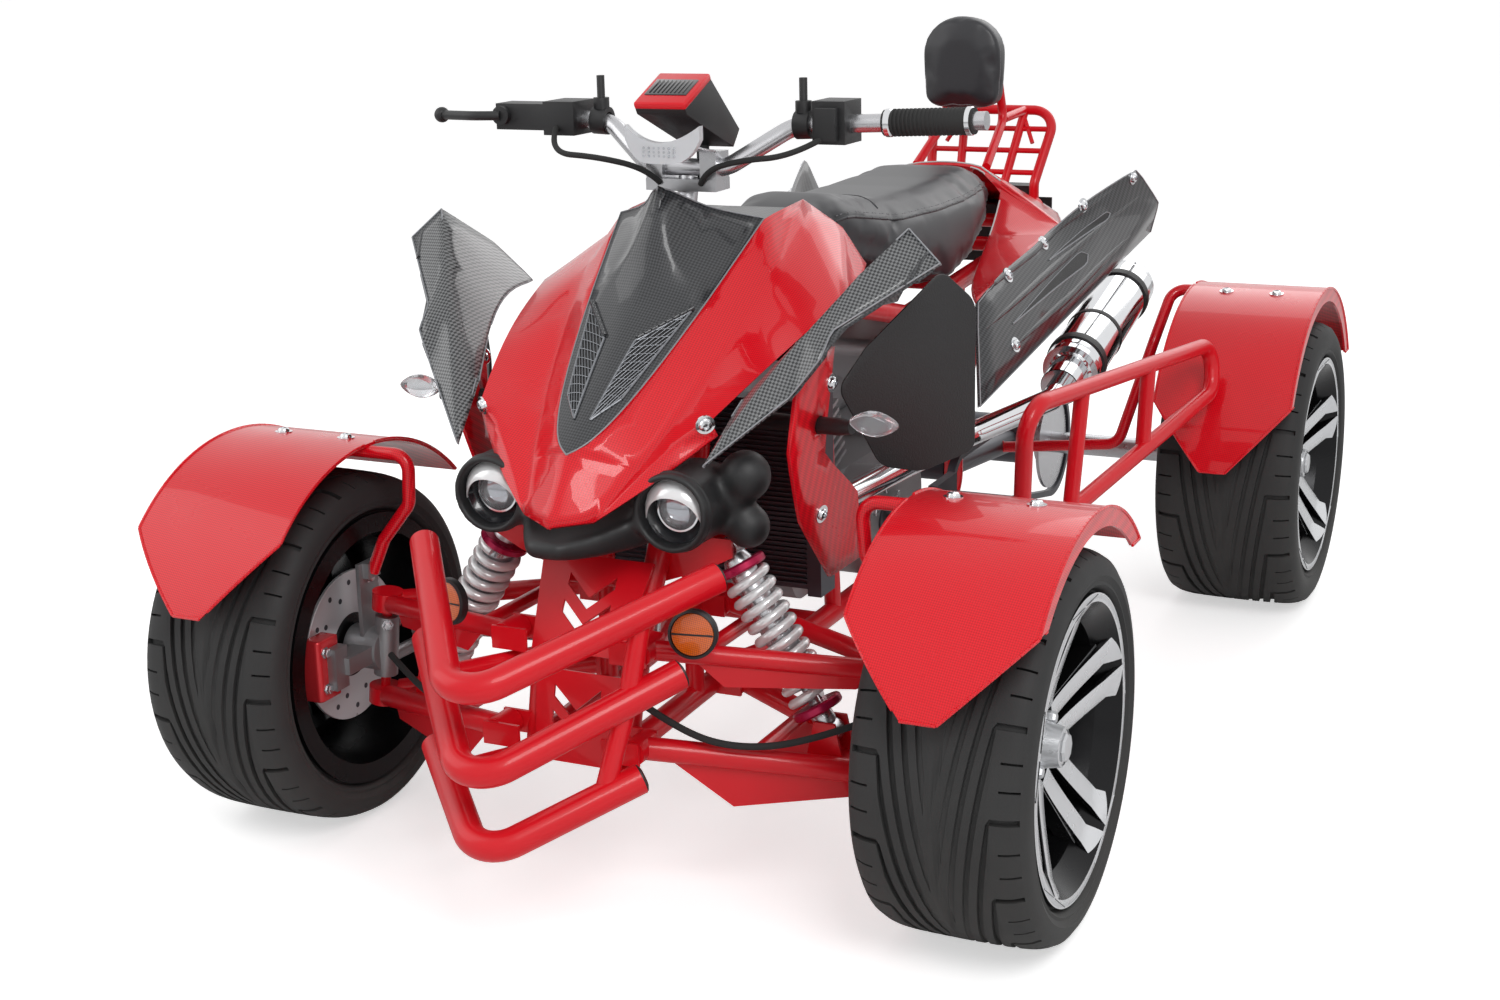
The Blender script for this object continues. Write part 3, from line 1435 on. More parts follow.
@dataclass
class Grilles:
    """Diamond wire mesh over dark pockets in the nose insert, with a light bead round each."""

    skin: Thing
    corners: tuple[tuple[float, float], ...] = ((0.09, 0.13), (0.34, 0.22), (0.66, 0.58), (0.17, 0.43))
    rake: float = 0.81           # share of the height that the edge rises through
    slant: float = 0.30          # share of the length that a wire runs along while it crosses
    wires: int = 10
    lift: float = 0.0024
    wire: float = 0.0006

    def spot(self, surface: Surface, side: int, u: float, v: float, lift: float) -> Vector:
        """A place on the insert.

        Args:
            surface: the insert's skin.
            side: 1 for left, -1 for right.
            u: share of the way up.
            v: share of the way out.
            lift: height over the skin.

        Returns:
            The place in metres.
        """
        box = Box("nose_insert")
        low_in, low_out, high_out, high_in = (box.spot(x, y, y * self.rake, side) for x, y in self.corners)
        flat = low_in.lerp(high_in, u).lerp(low_out.lerp(high_out, u), v)
        place, normal = surface.drop(flat, Vector((0.25 * side, -0.62, 0.74)))
        return place + normal * lift

    def build(self) -> None:
        """Pocket, wires, bead and brow on both sides."""
        surface = Surface(self.skin)
        for side in SIDES:
            label = SIDE_NAMES[side]
            pocket = Piece(f"grille_pocket_{label}", "chassis", PLASTIC)
            bmesh.ops.create_grid(pocket.bm, x_segments=12, y_segments=5, size=0.5)
            for vert in pocket.bm.verts:
                vert.co = self.spot(surface, side, vert.co.x + 0.5, vert.co.y + 0.5, 0.0010)
            bmesh.ops.recalc_face_normals(pocket.bm, faces=pocket.bm.faces[:])
            pocket.done()
            mesh = Piece(f"grille_wires_{label}", "chassis", WIRE)
            for slant in (self.slant, -self.slant):
                for number in range(-4, self.wires + 4):
                    marks = [(number / self.wires + slant * v / 3, v / 3) for v in range(4)]
                    inside = [mark for mark in marks if -0.001 <= mark[0] <= 1.001]
                    mesh.chain([self.spot(surface, side, u, v, self.lift) for u, v in inside],
                               self.wire, 6)
            mesh.done()
            loop = [(u / 8, 0.0) for u in range(8)] + [(1.0, v / 3) for v in range(3)]
            loop += [(1 - u, 1.0 - v) for u, v in loop]
            brow = [(1.04, v / 8) for v in range(9)]
            for name, finish, marks, lift, radius, segments in (
                    ("grille_bead", WIRE, loop, 0.0012, 0.0016, 8),
                    ("grille_brow", CARBON, brow, 0.0014, 0.0038, 12)):
                piece = Piece(f"{name}_{label}", "chassis", finish)
                piece.chain([self.spot(surface, side, u, v, lift) for u, v in marks], radius, segments,
                            marks is loop)
                piece.done()


@dataclass
class Signals:
    """Clear leaf lenses on black stalks."""

    half: Point = (0.034, 0.012, 0.017)       # half sizes of a lens
    clear: float = 0.0005                     # how much smaller the lens is made
    sharpen: float = 0.35                     # how far its ends are drawn in
    root: float = 0.41                        # share of the box where a stalk starts

    def build(self) -> None:
        """Both stalks and lenses."""
        box = Box("turn_signals")
        for side in SIDES:
            label = SIDE_NAMES[side]
            middle = Vector((side * (box.high.x - self.half[0]), box.low.y + self.half[1],
                             box.high.z - self.half[2]))
            start = Vector((side * box.high.x * self.root, box.high.y - 0.012, box.low.z + 0.012))
            end = middle + Vector((-0.030 * side, 0.003, -0.008))
            length = (end - start).length
            stalk = ((0, 0), (0.0118, 0), (0.0105, length * 0.5), (0.0115, length - 0.02), (0.0085, length),
                     (0, length))
            turned(f"signal_stalk_{label}", "chassis", PLASTIC, stalk, start, end - start, 24,
                   ["turn_signals"] if side == 1 else ())
            lens = Piece(f"signal_lens_{label}", "chassis", GLASS)
            work = bmesh.new()
            bmesh.ops.create_uvsphere(work, u_segments=28, v_segments=16, radius=1.0)
            wide, deep, high = (size - self.clear for size in self.half)
            for vert in work.verts:
                point = 1 - self.sharpen * abs(vert.co.x) ** 2
                vert.co = Vector((vert.co.x * wide, vert.co.y * deep * point, vert.co.z * high * point))
            lens.take(work, Matrix.Translation(middle))
            lens.done()


@dataclass
class BeamLamp:
    """Clear crescent lamp with a dimpled lens on two flat brackets."""

    half: float = 0.0535         # half its width
    depth: float = 0.011
    dimple: Profile = ((0, 0), (0.0020, 0), (0.0014, 0.0012), (0, 0.0016))
    pitch: tuple[float, float] = (0.0072, 0.0050)    # from one dimple to the next, across and down
    arms: tuple[float, float] = (-0.034, 0.032)      # where the brackets stand, off its middle

    def build(self) -> None:
        """Crescent, dimples and brackets."""
        box = Box("beam_lamp")
        lamp = Piece("crescent_lamp", "steering", FROSTED)
        bmesh.ops.create_grid(lamp.bm, x_segments=24, y_segments=8, size=0.5)
        middle = Vector((box.middle.x, box.low.y + 0.013, box.middle.z))
        for vert in lamp.bm.verts:
            x, v = vert.co.x * 2, vert.co.y + 0.5
            top = 0.003 + 0.021 * x * x
            low = min(-0.024 + 0.030 * x ** 4, top - 0.002 - 0.012 * math.sqrt(max(0.0, 1 - x ** 8)))
            vert.co = middle + Vector((x * self.half, 0.010 * x * x, low + (top - low) * v))
        thicken(lamp.bm, self.depth)
        lamp.done(["beam_lamp"])
        dimples = Piece("crescent_dimples", "steering", GLASS)
        for row in range(3):
            for number in range(7):
                spot = middle + Vector(((number - 3) * self.pitch[0], -0.0105,
                                        -0.004 - row * self.pitch[1]))
                dimples.lathe(self.dimple, spot, Vector((0, -1, 0)), 10)
        dimples.done()
        arms = Piece("crescent_brackets", "steering", STEEL)
        for shift in self.arms:
            start = middle + Vector((shift, 0.009, -0.004))
            end = Vector(((middle.x + shift) * 0.72, box.high.y, middle.z - 0.020))
            arms.slab((0.018, (end - start).length, 0.0035), aimed((start + end) / 2, end - start, "Y", "Z"),
                      0.0010)
        arms.done()


@dataclass
class CoilOver:
    """Front damper with its white spring and steel rod."""

    coil: float = 0.0260
    wire: float = 0.0064
    turns: int = 10
    steps: int = 28              # mesh steps to a turn
    seats: tuple[float, float] = (0.034, 0.040)      # from the upper and the lower eye to the spring
    eye: Profile = ((0, -0.013), (0.015, -0.013), (0.015, 0.013), (0, 0.013))

    def build(self) -> None:
        """Both dampers."""
        for side in SIDES:
            label = SIDE_NAMES[side]
            top, low = damper_eyes(side)
            length, axis = (low - top).length, (low - top).normalized()
            body = Piece(f"damper_body_{label}", "chassis", STEEL)
            body.lathe(((0, 0.010), (0.0150, 0.010), (0.0190, 0.020), (0.0190, length * 0.60),
                        (0.0165, length * 0.62), (0.0080, length * 0.62), (0.0080, length - 0.040),
                        (0.0150, length - 0.030), (0.0150, length - 0.012), (0, length - 0.010)),
                       top, axis, 40)
            for eye in (top, low):
                body.lathe(self.eye, eye, Vector((0, 1, 0)), 28)
            body.done(["front_shocks"] if side == 1 else ())
            spring = Piece(f"damper_spring_{label}", "chassis", SPRING)
            start = self.seats[0] + self.wire
            spring.take(self.spring(length - sum(self.seats) - 2 * self.wire),
                        aimed(top + axis * start, axis))
            spring.done()

    def spring(self, travel: float) -> bmesh.types.BMesh:
        """The spring along +Z.

        Args:
            travel: from its first coil's middle to its last one's.

        Returns:
            Its mesh.
        """
        work = bmesh.new()
        ring = bmesh.ops.create_circle(work, segments=12, radius=self.wire)["verts"]
        bmesh.ops.rotate(work, verts=ring, cent=(0, 0, 0), matrix=Matrix.Rotation(math.pi / 2, 3, "X"))
        bmesh.ops.translate(work, verts=ring, vec=(self.coil, 0, 0))
        steps = self.turns * self.steps
        bmesh.ops.spin(work, geom=work.verts[:] + work.edges[:], cent=(0, 0, 0), axis=(0, 0, 1),
                       angle=TURN * self.turns, dvec=(0, 0, travel / steps), steps=steps, use_merge=False,
                       use_duplicate=False)
        bmesh.ops.holes_fill(work, edges=[e for e in work.edges if e.is_boundary], sides=0)
        bmesh.ops.recalc_face_normals(work, faces=work.faces)
        return work


@dataclass
class RearTrim:
    """Chrome muffler with its black clamps, and the fins of the radiator."""

    nodes: dict[str, Thing]
    radius: float = 0.048
    shell: float = 0.0486        # radius of the chrome round it
    clamps: tuple[Point, ...] = ((0.344, 0.0514, 0.0080), (0.243, 0.0496, 0.0050), (0.079, 0.0514, 0.0080))
    bore: Profile = ((0, -0.0245), (0.0222, -0.0245), (0.0222, -0.0255), (0, -0.0255))
    rows: int = 36               # fins of the radiator
    margins: tuple[float, float] = (0.046, 0.032)    # what the fins leave free of its width and height

    def build(self) -> None:
        """Can, clamps, bore and fins."""
        outlet, lead = Surface(self.nodes["exhaust"]).disc(Box("exhaust").spot(0.85, 1.0, 0.92),
                                                           Vector((0, 1, 0.25)))
        can = ((0.0332, -0.442), (0.0332, -0.386), (0.0440, -0.378), (0.0478, -0.372), (self.shell, -0.364),
               (self.shell, -0.040), (0.0478, -0.032), (0.0440, -0.0275), (0.0362, -0.0262), (0.0362, -0.001),
               (0.0354, 0.0006), (0.0232, 0.0006), (0.0222, -0.001), (0.0222, -0.025))
        turned("muffler_can", "chassis", CHROME, can, outlet, lead, 72)
        bands = Piece("muffler_clamps", "chassis", PLASTIC)
        for back, reach, half in self.clamps:
            bands.lathe(((self.radius, -half), (reach, -half), (reach + 0.0006, 0), (reach, half),
                         (self.radius, half)), outlet - lead * back, lead, 64)
        bands.done()
        turned("muffler_bore", "chassis", DARK, self.bore, outlet, lead, 40)
        fins, core = Piece("radiator_fins", "chassis", DARK), Box("radiator")
        aside, above = self.margins
        for row in range(self.rows):
            height = core.low.z + above / 2 + (core.size.z - above) * row / (self.rows - 1)
            fins.slab((core.size.x - aside, 0.004, 0.0016),
                      Matrix.Translation((0, core.low.y + 0.004, height)), 0.0004)
        fins.done()


@dataclass
class EdgeBeads:
    """Fine beads along the outer edges of a moulded panel."""

    finish: Finish
    radius: float = 0.0011
    body: str = "chassis"
    sharper_than: float = 55.0    # degrees
    beyond: float = 0.006         # how far past an edge to look for more of the panel
    above: float = 0.02           # how high over the skin that look starts
    search: float = 0.035         # and how far down it goes
    shortest: float = 0.001

    def build(self, node: str, source: Thing) -> None:
        """Lay a bead along every sharp edge of the outer skin.

        Args:
            node: the CAD node.
            source: the object that has its skin.
        """
        work = welded(source.data)
        beads = Piece(f"{node}_beads", self.body, self.finish)
        tree = BVHTree.FromBMesh(work)
        for edge in work.edges:
            if len(edge.link_faces) != 2 or math.degrees(edge.calc_face_angle(0)) < self.sharper_than:
                continue
            start, end = (vert.co.copy() for vert in edge.verts)
            broad = max(edge.link_faces, key=lambda face: face.calc_area())
            side = 1 if (start + end).x > 0 else -1
            seen = broad.normal.dot(Vector((side, -0.5, 0.7))) > 0
            if seen and (end - start).length > self.shortest and self.ends_here(edge, broad, tree):
                beads.bar(start, end, self.radius, 6)
        work.free()
        beads.done()

    def ends_here(self, edge: bmesh.types.BMEdge, broad: bmesh.types.BMFace, tree: BVHTree) -> bool:
        """Whether the panel ends at an edge, with none of it beyond.

        Args:
            edge: the edge.
            broad: the larger of its two faces.
            tree: the whole panel, to look for skin beyond the edge.

        Returns:
            True on the panel's outline.
        """
        start, end = (vert.co for vert in edge.verts)
        beyond = (end - start).normalized().cross(broad.normal)
        middle = (start + end) / 2
        if beyond.dot(broad.calc_center_median() - middle) > 0:
            beyond = -beyond
        above = middle + beyond * self.beyond + broad.normal * self.above
        return tree.ray_cast(above, -broad.normal, self.search)[0] is None


@dataclass
class Vents:
    """Leaf-shaped dark slots with light lips in the tail panels."""

    skin: Thing
    leaves: tuple[tuple[Point, Point, float], ...] = (
        ((0.84, 0.20, 0.37), (0.93, 0.58, 0.60), 0.0120), ((0.84, 0.44, 0.62), (0.92, 0.72, 0.78), 0.0070))
    lips: tuple[tuple[int, float], ...] = ((-1, 0.0015), (1, 0.0009))      # edge and bead radius
    blunt: float = 0.1           # share of the length that the round end takes
    over: tuple[float, float] = (0.0008, 0.0006)      # height of a slot and of its lips over the skin
    steps: int = 24

    def build(self) -> None:
        """Cut-look slots on both sides."""
        surface, box = Surface(self.skin), Box("tail_panels")
        slots = Piece("tail_vents", "chassis", PLASTIC)
        lips = Piece("tail_vent_lips", "chassis", EDGE)
        for side in SIDES:
            for start, end, width in self.leaves:
                self.leaf(surface, (box.spot(*start, side), box.spot(*end, side)), width, side, (slots, lips))
        slots.done()
        lips.done()

    def half_width(self, u: float) -> float:
        """Share of the greatest width at a share of the length."""
        into = max(0.0, u - (1 - self.blunt)) / self.blunt
        return min(u ** 0.9, math.sqrt(max(0.0, 1 - into ** 2)))

    def leaf(self, surface: Surface, ends: tuple[Vector, Vector], width: float, side: int,
             pieces: tuple[Piece, Piece]) -> None:
        """One slot that widens to the rear, and its two lips.

        Args:
            surface: the panel's skin.
            ends: its pointed and its round end.
            width: half its greatest width.
            side: 1 for left, -1 for right.
            pieces: what takes the slot and what takes the lips.
        """
        out = Vector((side, 0, 0.3)).normalized()
        up = out.cross((ends[1] - ends[0]).normalized()).normalized()
        up = up if up.z > 0 else -up

        def place(u: float, v: float, lift: float) -> Vector:
            """A place of the slot on the skin."""
            spot, normal = surface.drop(ends[0].lerp(ends[1], u) + up * width * self.half_width(u) * v, out)
            return spot + normal * lift

        work = bmesh.new()
        bmesh.ops.create_grid(work, x_segments=self.steps, y_segments=4, size=0.5)
        for vert in work.verts:
            vert.co = place(vert.co.x + 0.5, vert.co.y * 2, self.over[0])
        pieces[0].take(work, Matrix.Identity(4))
        for edge, radius in self.lips:
            line = [place(step / self.steps, edge, self.over[1]) for step in range(self.steps + 1)]
            pieces[1].chain(line, radius, 6)


@dataclass
class Ridges:
    """Raised ribs moulded into a panel."""

    outward: Point
    lines: tuple[tuple[Point, ...], ...]     # box shares along each rib
    half_width: float = 0.007
    rise: float = 0.0036
    steps: int = 30
    stub: float = 0.08           # how much of a rib is left at its ends
    crown: float = 2.4           # how flat its top is, more for flatter
    sunk: float = 0.0006         # how far its rims lie under the skin

    def build(self, node: str, skin: Thing) -> None:
        """Lay every rib on both sides.

        Args:
            node: the CAD node.
            skin: the finished panel.
        """
        surface, box = Surface(skin), Box(node)
        piece = Piece(f"{node}_ridges", "chassis", CARBON)
        for side in SIDES:
            out = Vector(other_side(self.outward, side)).normalized()
            for line in self.lines:
                marks = [box.spot(*mark, side) for mark in line]
                seats = [surface.drop(self.along(marks, step / self.steps), out)
                         for step in range(self.steps + 1)]
                self.rib(piece, seats)
        piece.done()

    @staticmethod
    def along(marks: Sequence[Vector], share: float) -> Vector:
        """A place part of the way along a broken line."""
        reach = share * (len(marks) - 1)
        first = min(int(reach), len(marks) - 2)
        return marks[first].lerp(marks[first + 1], reach - first)

    def rib(self, piece: Piece, seats: Sequence[tuple[Vector, Vector]]) -> None:
        """One rib that rises and fades along its seats.

        Args:
            piece: the piece that takes it.
            seats: places and outward directions along it.
        """
        work = bmesh.new()
        bmesh.ops.create_grid(work, x_segments=self.steps, y_segments=6, size=0.5)
        for vert in work.verts:
            step = round((vert.co.x + 0.5) * self.steps)
            place, normal = seats[step]
            ahead = seats[min(step + 1, self.steps)][0] - seats[max(step - 1, 0)][0]
            across = normal.cross(ahead).normalized()
            fade = max(self.stub, math.sin(math.pi * step / self.steps)) ** 0.5
            lean = vert.co.y * 2
            lift = self.rise * fade * (1 - abs(lean) ** self.crown) - self.sunk
            vert.co = place + across * (lean * self.half_width * fade) + normal * lift
        bmesh.ops.recalc_face_normals(work, faces=work.faces)
        if sum(face.normal.dot(seats[self.steps // 2][1]) for face in work.faces) < 0:
            bmesh.ops.reverse_faces(work, faces=work.faces)
        piece.take(work, Matrix.Identity(4))


@dataclass
class Softened:
    """A CAD piece with its hard edges rounded a little, so that they catch the light."""

    body: str
    finish: Finish
    edge: float = 0.0014
    over: float = 40.0           # degrees
    corner: float = 0.0          # radius at the corners of a plate, 0 for none
    corner_over: float = 20.0    # degrees
    plate: float = 0.0065        # a plate is thinner than this

    def build(self, node: str, source: Thing) -> None:
        """Weld, round and hand over.

        Args:
            node: the CAD node.
            source: its object.
        """
        piece = Piece(f"{node}_softened", self.body, self.finish)
        work = welded(source.data)
        if self.corner:
            self.round_off(work, self.corner, self.corner_over, 6, self.plate)
        self.round_off(work, self.edge, self.over, 3, math.inf)
        piece.take(work, Matrix.Identity(4))
        piece.done([node])

    @staticmethod
    def round_off(work: bmesh.types.BMesh, radius: float, over: float, segments: int, shorter: float) -> None:
        """Round the hard edges.

        Args:
            work: the mesh.
            radius: of the rounding, in metres.
            over: how hard an edge has to be, in degrees.
            segments: faces across the rounding.
            shorter: only edges shorter than this are rounded.
        """
        hard = [e for e in work.edges if e.is_manifold and e.calc_length() < shorter
                and math.degrees(e.calc_face_angle(0)) > over]
        bmesh.ops.bevel(work, geom=hard, offset=radius, affect="EDGES", segments=segments, profile=0.5,
                        clamp_overlap=True, material=-1)


HUB_BOLT = ((0, -0.001), (0.0085, -0.001), (0.0085, 0.0016), (0.0062, 0.0016), (0.0062, 0.0064),
            (0.0050, 0.0074), (0, 0.0076))
COVER_BOLT = ((0, -0.001), (0.0062, -0.001), (0.0062, 0.0042), (0.0050, 0.0052), (0, 0.0054))
COVER_PLUG = ((0, -0.001), (0.026, -0.001), (0.026, 0.003), (0.022, 0.005), (0.012, 0.005), (0.012, 0.008),
              (0, 0.009))


@dataclass
class HubTrim:
    """Bolt heads on the knuckles and calipers, seen from inboard."""

    nodes: dict[str, Thing]
    places: tuple[tuple[str, tuple[Point, ...]], ...] = (
        ("knuckle", ((0.35, 0.46, 0.48), (0.35, 0.60, 0.48), (0.35, 0.53, 0.86))),
        ("caliper", ((0.0, 0.30, 0.20), (0.0, 0.30, 0.80), (0.0, 0.72, 0.50))))
    search: float = 0.05         # how far inboard of its share of the box the search starts

    def build(self) -> None:
        """Both sides."""
        for side in SIDES:
            label, inward = SIDE_NAMES[side], Vector((-side, 0, 0))
            piece = Piece(f"hub_bolts_{label}", f"knuckle_{label}", STEEL)
            for kind, spots in self.places:
                skin, box = Surface(self.nodes[f"{kind}_{label}"]), Box(f"{kind}_{label}")
                for spot in spots:
                    base, normal = skin.drop(box.spot(*spot, side), inward, self.search)
                    piece.lathe(HUB_BOLT, base, normal, 6)
            piece.done()


@dataclass
class EngineTrim:
    """Cover bolts, a sight plug, and the red lens over the number plate."""

    nodes: dict[str, Thing]
    cover: tuple[float, float] = (0.39, 0.249)     # shares of the engine's length and height
    rings: tuple[tuple[float, float, int], ...] = (     # radius, depth and number of bolts
        (0.050, 0.0, 6), (0.073, 0.008, 9))
    lens: Point = (0.044, 0.006, 0.018)
    lens_pitch: float = 0.048
    lens_sunk: float = 0.0015

    def build(self) -> None:
        """Both sides of the engine, then the tail."""
        engine = Box("engine")
        bolts = Piece("engine_cover_bolts", "chassis", STEEL)
        plugs = Piece("engine_cover_plugs", "chassis", DARK)
        for side in SIDES:
            out = Vector((side, 0, 0))
            middle = engine.spot(1.0, *self.cover, side)
            for radius, depth, count in self.rings:
                for turn in range(count):
                    spot = middle - out * depth + round_axle(TURN * (turn + 0.5) / count, radius)
                    bolts.lathe(COVER_BOLT, spot, out, 6)
            plugs.lathe(COVER_PLUG, middle, out, 32)
        bolts.done()
        plugs.done()
        lens, back = Piece("tail_lens", "chassis", TAIL_RED), Vector((0, 1, 0))
        place, _ = Surface(self.nodes["tail_lamp"]).drop(Box("tail_lamp").spot(0.0, 1.0, 0.92), back)
        for column in (-1, 0, 1):
            middle = place + Vector((self.lens_pitch * column, -self.lens_sunk, 0))
            lens.slab(self.lens, Matrix.Translation(middle), 0.0025)
        lens.done()


@dataclass
class BackrestPiping:
    """A pale welt round the front edge of the backrest."""

    pad: Thing
    radius: float = 0.0020
    depth: float = 0.30          # share of its depth, from the front
    rays: int = 72
    outside: float = 0.2         # how far from its middle a ray starts
    sunk: float = 0.8            # share of the welt's radius that lies in the pad

    def build(self) -> None:
        """Lay the welt where rays from all round meet the pad."""
        skin, box = Surface(self.pad), Box("backrest")
        middle = Vector((box.middle.x, box.low.y + box.size.y * self.depth, box.middle.z))
        spots = []
        for turn in range(self.rays):
            angle = TURN * turn / self.rays
            way = Vector((math.cos(angle), 0, math.sin(angle)))
            place, _, _, _ = skin.tree.ray_cast(middle + way * self.outside, -way, self.outside * 1.5)
            if place:
                spots.append(place - way * self.radius * self.sunk)
        welt = Piece("backrest_piping", "chassis", THREAD)
        welt.chain(spots, self.radius, 8, closed=True)
        welt.done()


@dataclass
class SeatTrim:
    """A sewn channel across the saddle, stitches beside it, and piping along its sides."""

    pad: Thing
    channel: float = 0.30        # share of the saddle's length
    seam: float = 0.0015
    pitch: float = 0.009         # from one stitch to the next
    stitch: float = 0.0052       # length of one
    thread: float = 0.0007
    under: float = 0.034         # from the saddle's top down to its piping
    over: float = 0.008          # from the piping up to its stitches
    beside: float = 0.007        # from the channel to its stitches
    span: float = 0.62           # share of the saddle's half width that the channel crosses
    upward: float = 0.45         # how far up the skin has to look there
    outside: float = 0.05        # how far outside the box a search starts

    def build(self) -> None:
        """Build seams, stitches and piping."""
        skin, box = Surface(self.pad), Box("seat")
        seams = Piece("seat_seams", "chassis", LEATHER)
        stitches = Piece("seat_stitches", "chassis", THREAD)
        station = box.low.y + box.size.y * self.channel
        seams.chain(self.across(skin, box, station), self.seam, 8)
        self.sew(stitches, self.across(skin, box, station + self.beside))
        for side in SIDES:
            edge = self.along(skin, box, side)
            seams.chain(edge, self.seam * 1.4, 8)
            self.sew(stitches, [spot + Vector((0, 0, self.over)) for spot in edge])
        seams.done()
        stitches.done()

    def across(self, skin: Surface, box: Box, station: float) -> list[Vector]:
        """Places over the top of the saddle, from one shoulder to the other.

        Args:
            skin: the saddle's skin.
            box: the saddle's box.
            station: where along the machine.

        Returns:
            The places in order.
        """
        spots = []
        for step in range(-9, 10):
            above = Vector((box.high.x * self.span * step / 9, station, box.high.z + self.outside))
            place, normal, _, _ = skin.tree.ray_cast(above, Vector((0, 0, -1)), 0.12)
            if place and normal.z > self.upward:
                spots.append(place)
        return spots

    def along(self, skin: Surface, box: Box, side: int) -> list[Vector]:
        """Places down one side of the saddle, a little under its shoulder.

        Args:
            skin: the saddle's skin.
            box: the saddle's box.
            side: 1 for left, -1 for right.

        Returns:
            The places from front to rear.
        """
        spots = []
        for step in range(1, 30):
            station = box.low.y + box.size.y * step / 30
            above = Vector((0, station, box.high.z + self.outside))
            top, _, _, _ = skin.tree.ray_cast(above, Vector((0, 0, -1)), 0.2)
            if top is None:
                continue
            aside = Vector((side * (box.high.x + self.outside), station, top.z - self.under))
            place, _, _, _ = skin.tree.ray_cast(aside, Vector((-side, 0, 0)), 0.3)
            if place:
                spots.append(place)
        return spots

    def sew(self, piece: Piece, line: Sequence[Vector]) -> None:
        """Short stitches along a line of places.

        Args:
            piece: the piece that takes them.
            line: the places.
        """
        for first, second in zip(line, line[1:]):
            way = (second - first).normalized()
            for number in range(int((second - first).length / self.pitch)):
                start = first + way * (number * self.pitch + 0.001)
                piece.bar(start, start + way * self.stitch, self.thread, 5)


# ------------------------------------------------------------ stage
@dataclass
class Studio:
    """Floor, world, lamps and the camera."""

    place: Point = (1.286, -2.9929, 1.232)
    yaw: float = 25.27
    pitch: float = 15.34
    roll: float = -1.28
    lens: float = 50.79          # millimetres, before a 36 mm wide sensor
    aim: Point = (0, 0, 0.5)     # what the lamps point at
    ambient: float = 0.46        # strength of the world where it lights
    lamps: tuple[tuple[str, Point, float, float], ...] = (       # name, place, side in metres, watts
        ("key", (2.4, -3.0, 3.4), 1.8, 78), ("fill", (-3.2, -2.0, 2.6), 3.0, 34),
        ("back", (0.6, 3.6, 3.0), 3.0, 36))

    def build(self) -> None:
        """Set up the whole stage."""
        self.camera()
        self.floor()
        self.world()
        for name, place, size, power in self.lamps:
            data = bpy.data.lights.new(name, "AREA")
            data.size, data.energy = size, power
            spot = Vector(place)
            linked(name, data).matrix_world = aimed(spot, Vector(self.aim) - spot, "-Z")
        bpy.context.scene.view_settings.view_transform = "Standard"

    def camera(self) -> None:
        """The camera, from its turns."""
        yaw, pitch, roll = (math.radians(v) for v in (self.yaw, self.pitch, self.roll))
        ahead = Vector((-math.sin(yaw) * math.cos(pitch), math.cos(yaw) * math.cos(pitch), -math.sin(pitch)))
        right = ahead.cross(Vector((0, 0, 1))).normalized()
        up = right.cross(ahead)
        level = math.cos(roll) * right + math.sin(roll) * up
        rise = -math.sin(roll) * right + math.cos(roll) * up
        data = bpy.data.cameras.new("camera")
        data.sensor_width = 36.0
        data.lens = self.lens
        thing = linked("camera", data)
        turn = Matrix((level, rise, -ahead)).transposed().to_4x4()
        thing.matrix_world = Matrix.Translation(self.place) @ turn
        bpy.context.scene.camera = thing

    @staticmethod
    def floor() -> None:
        """A wide pale floor."""
        work = bmesh.new()
        bmesh.ops.create_grid(work, x_segments=4, y_segments=4, size=30)
        mesh = bpy.data.meshes.new("studio_floor")
        work.to_mesh(mesh)
        work.free()
        material = bpy.data.materials.new("studio_floor")
        material.use_nodes = True
        tree = material.node_tree
        shader = tree.nodes["Principled BSDF"]
        shader.inputs["Base Color"].default_value = (0.93, 0.93, 0.93, 1)
        shader.inputs["Roughness"].default_value = 0.9
        shader.inputs["Emission Color"].default_value = (1, 1, 1, 1)
        seen = tree.nodes.new("ShaderNodeLightPath").outputs["Is Camera Ray"]
        tree.links.new(EFFECTS.math(tree, "MULTIPLY", seen, 0.55), shader.inputs["Emission Strength"])
        mesh.materials.append(material)
        linked("studio_floor", mesh)

    def world(self) -> None:
        """White where it is seen, softer where it lights."""
        world = bpy.data.worlds.new("studio")
        bpy.context.scene.world = world
        world.use_nodes = True
        tree = world.node_tree
        tree.nodes.clear()
        out = tree.nodes.new("ShaderNodeOutputWorld")
        path = tree.nodes.new("ShaderNodeLightPath").outputs
        mix = tree.nodes.new("ShaderNodeMixShader")
        seen_by = EFFECTS.math(tree, "MAXIMUM", path["Is Camera Ray"], path["Is Transmission Ray"])
        tree.links.new(EFFECTS.math(tree, "MAXIMUM", seen_by, path["Is Glossy Ray"]), mix.inputs[0])
        for index, strength in ((1, self.ambient), (2, 1.0)):
            light = tree.nodes.new("ShaderNodeBackground")
            light.inputs["Color"].default_value = (1, 1, 1, 1)
            light.inputs["Strength"].default_value = strength
            tree.links.new(light.outputs[0], mix.inputs[index])
        tree.links.new(mix.outputs[0], out.inputs[0])


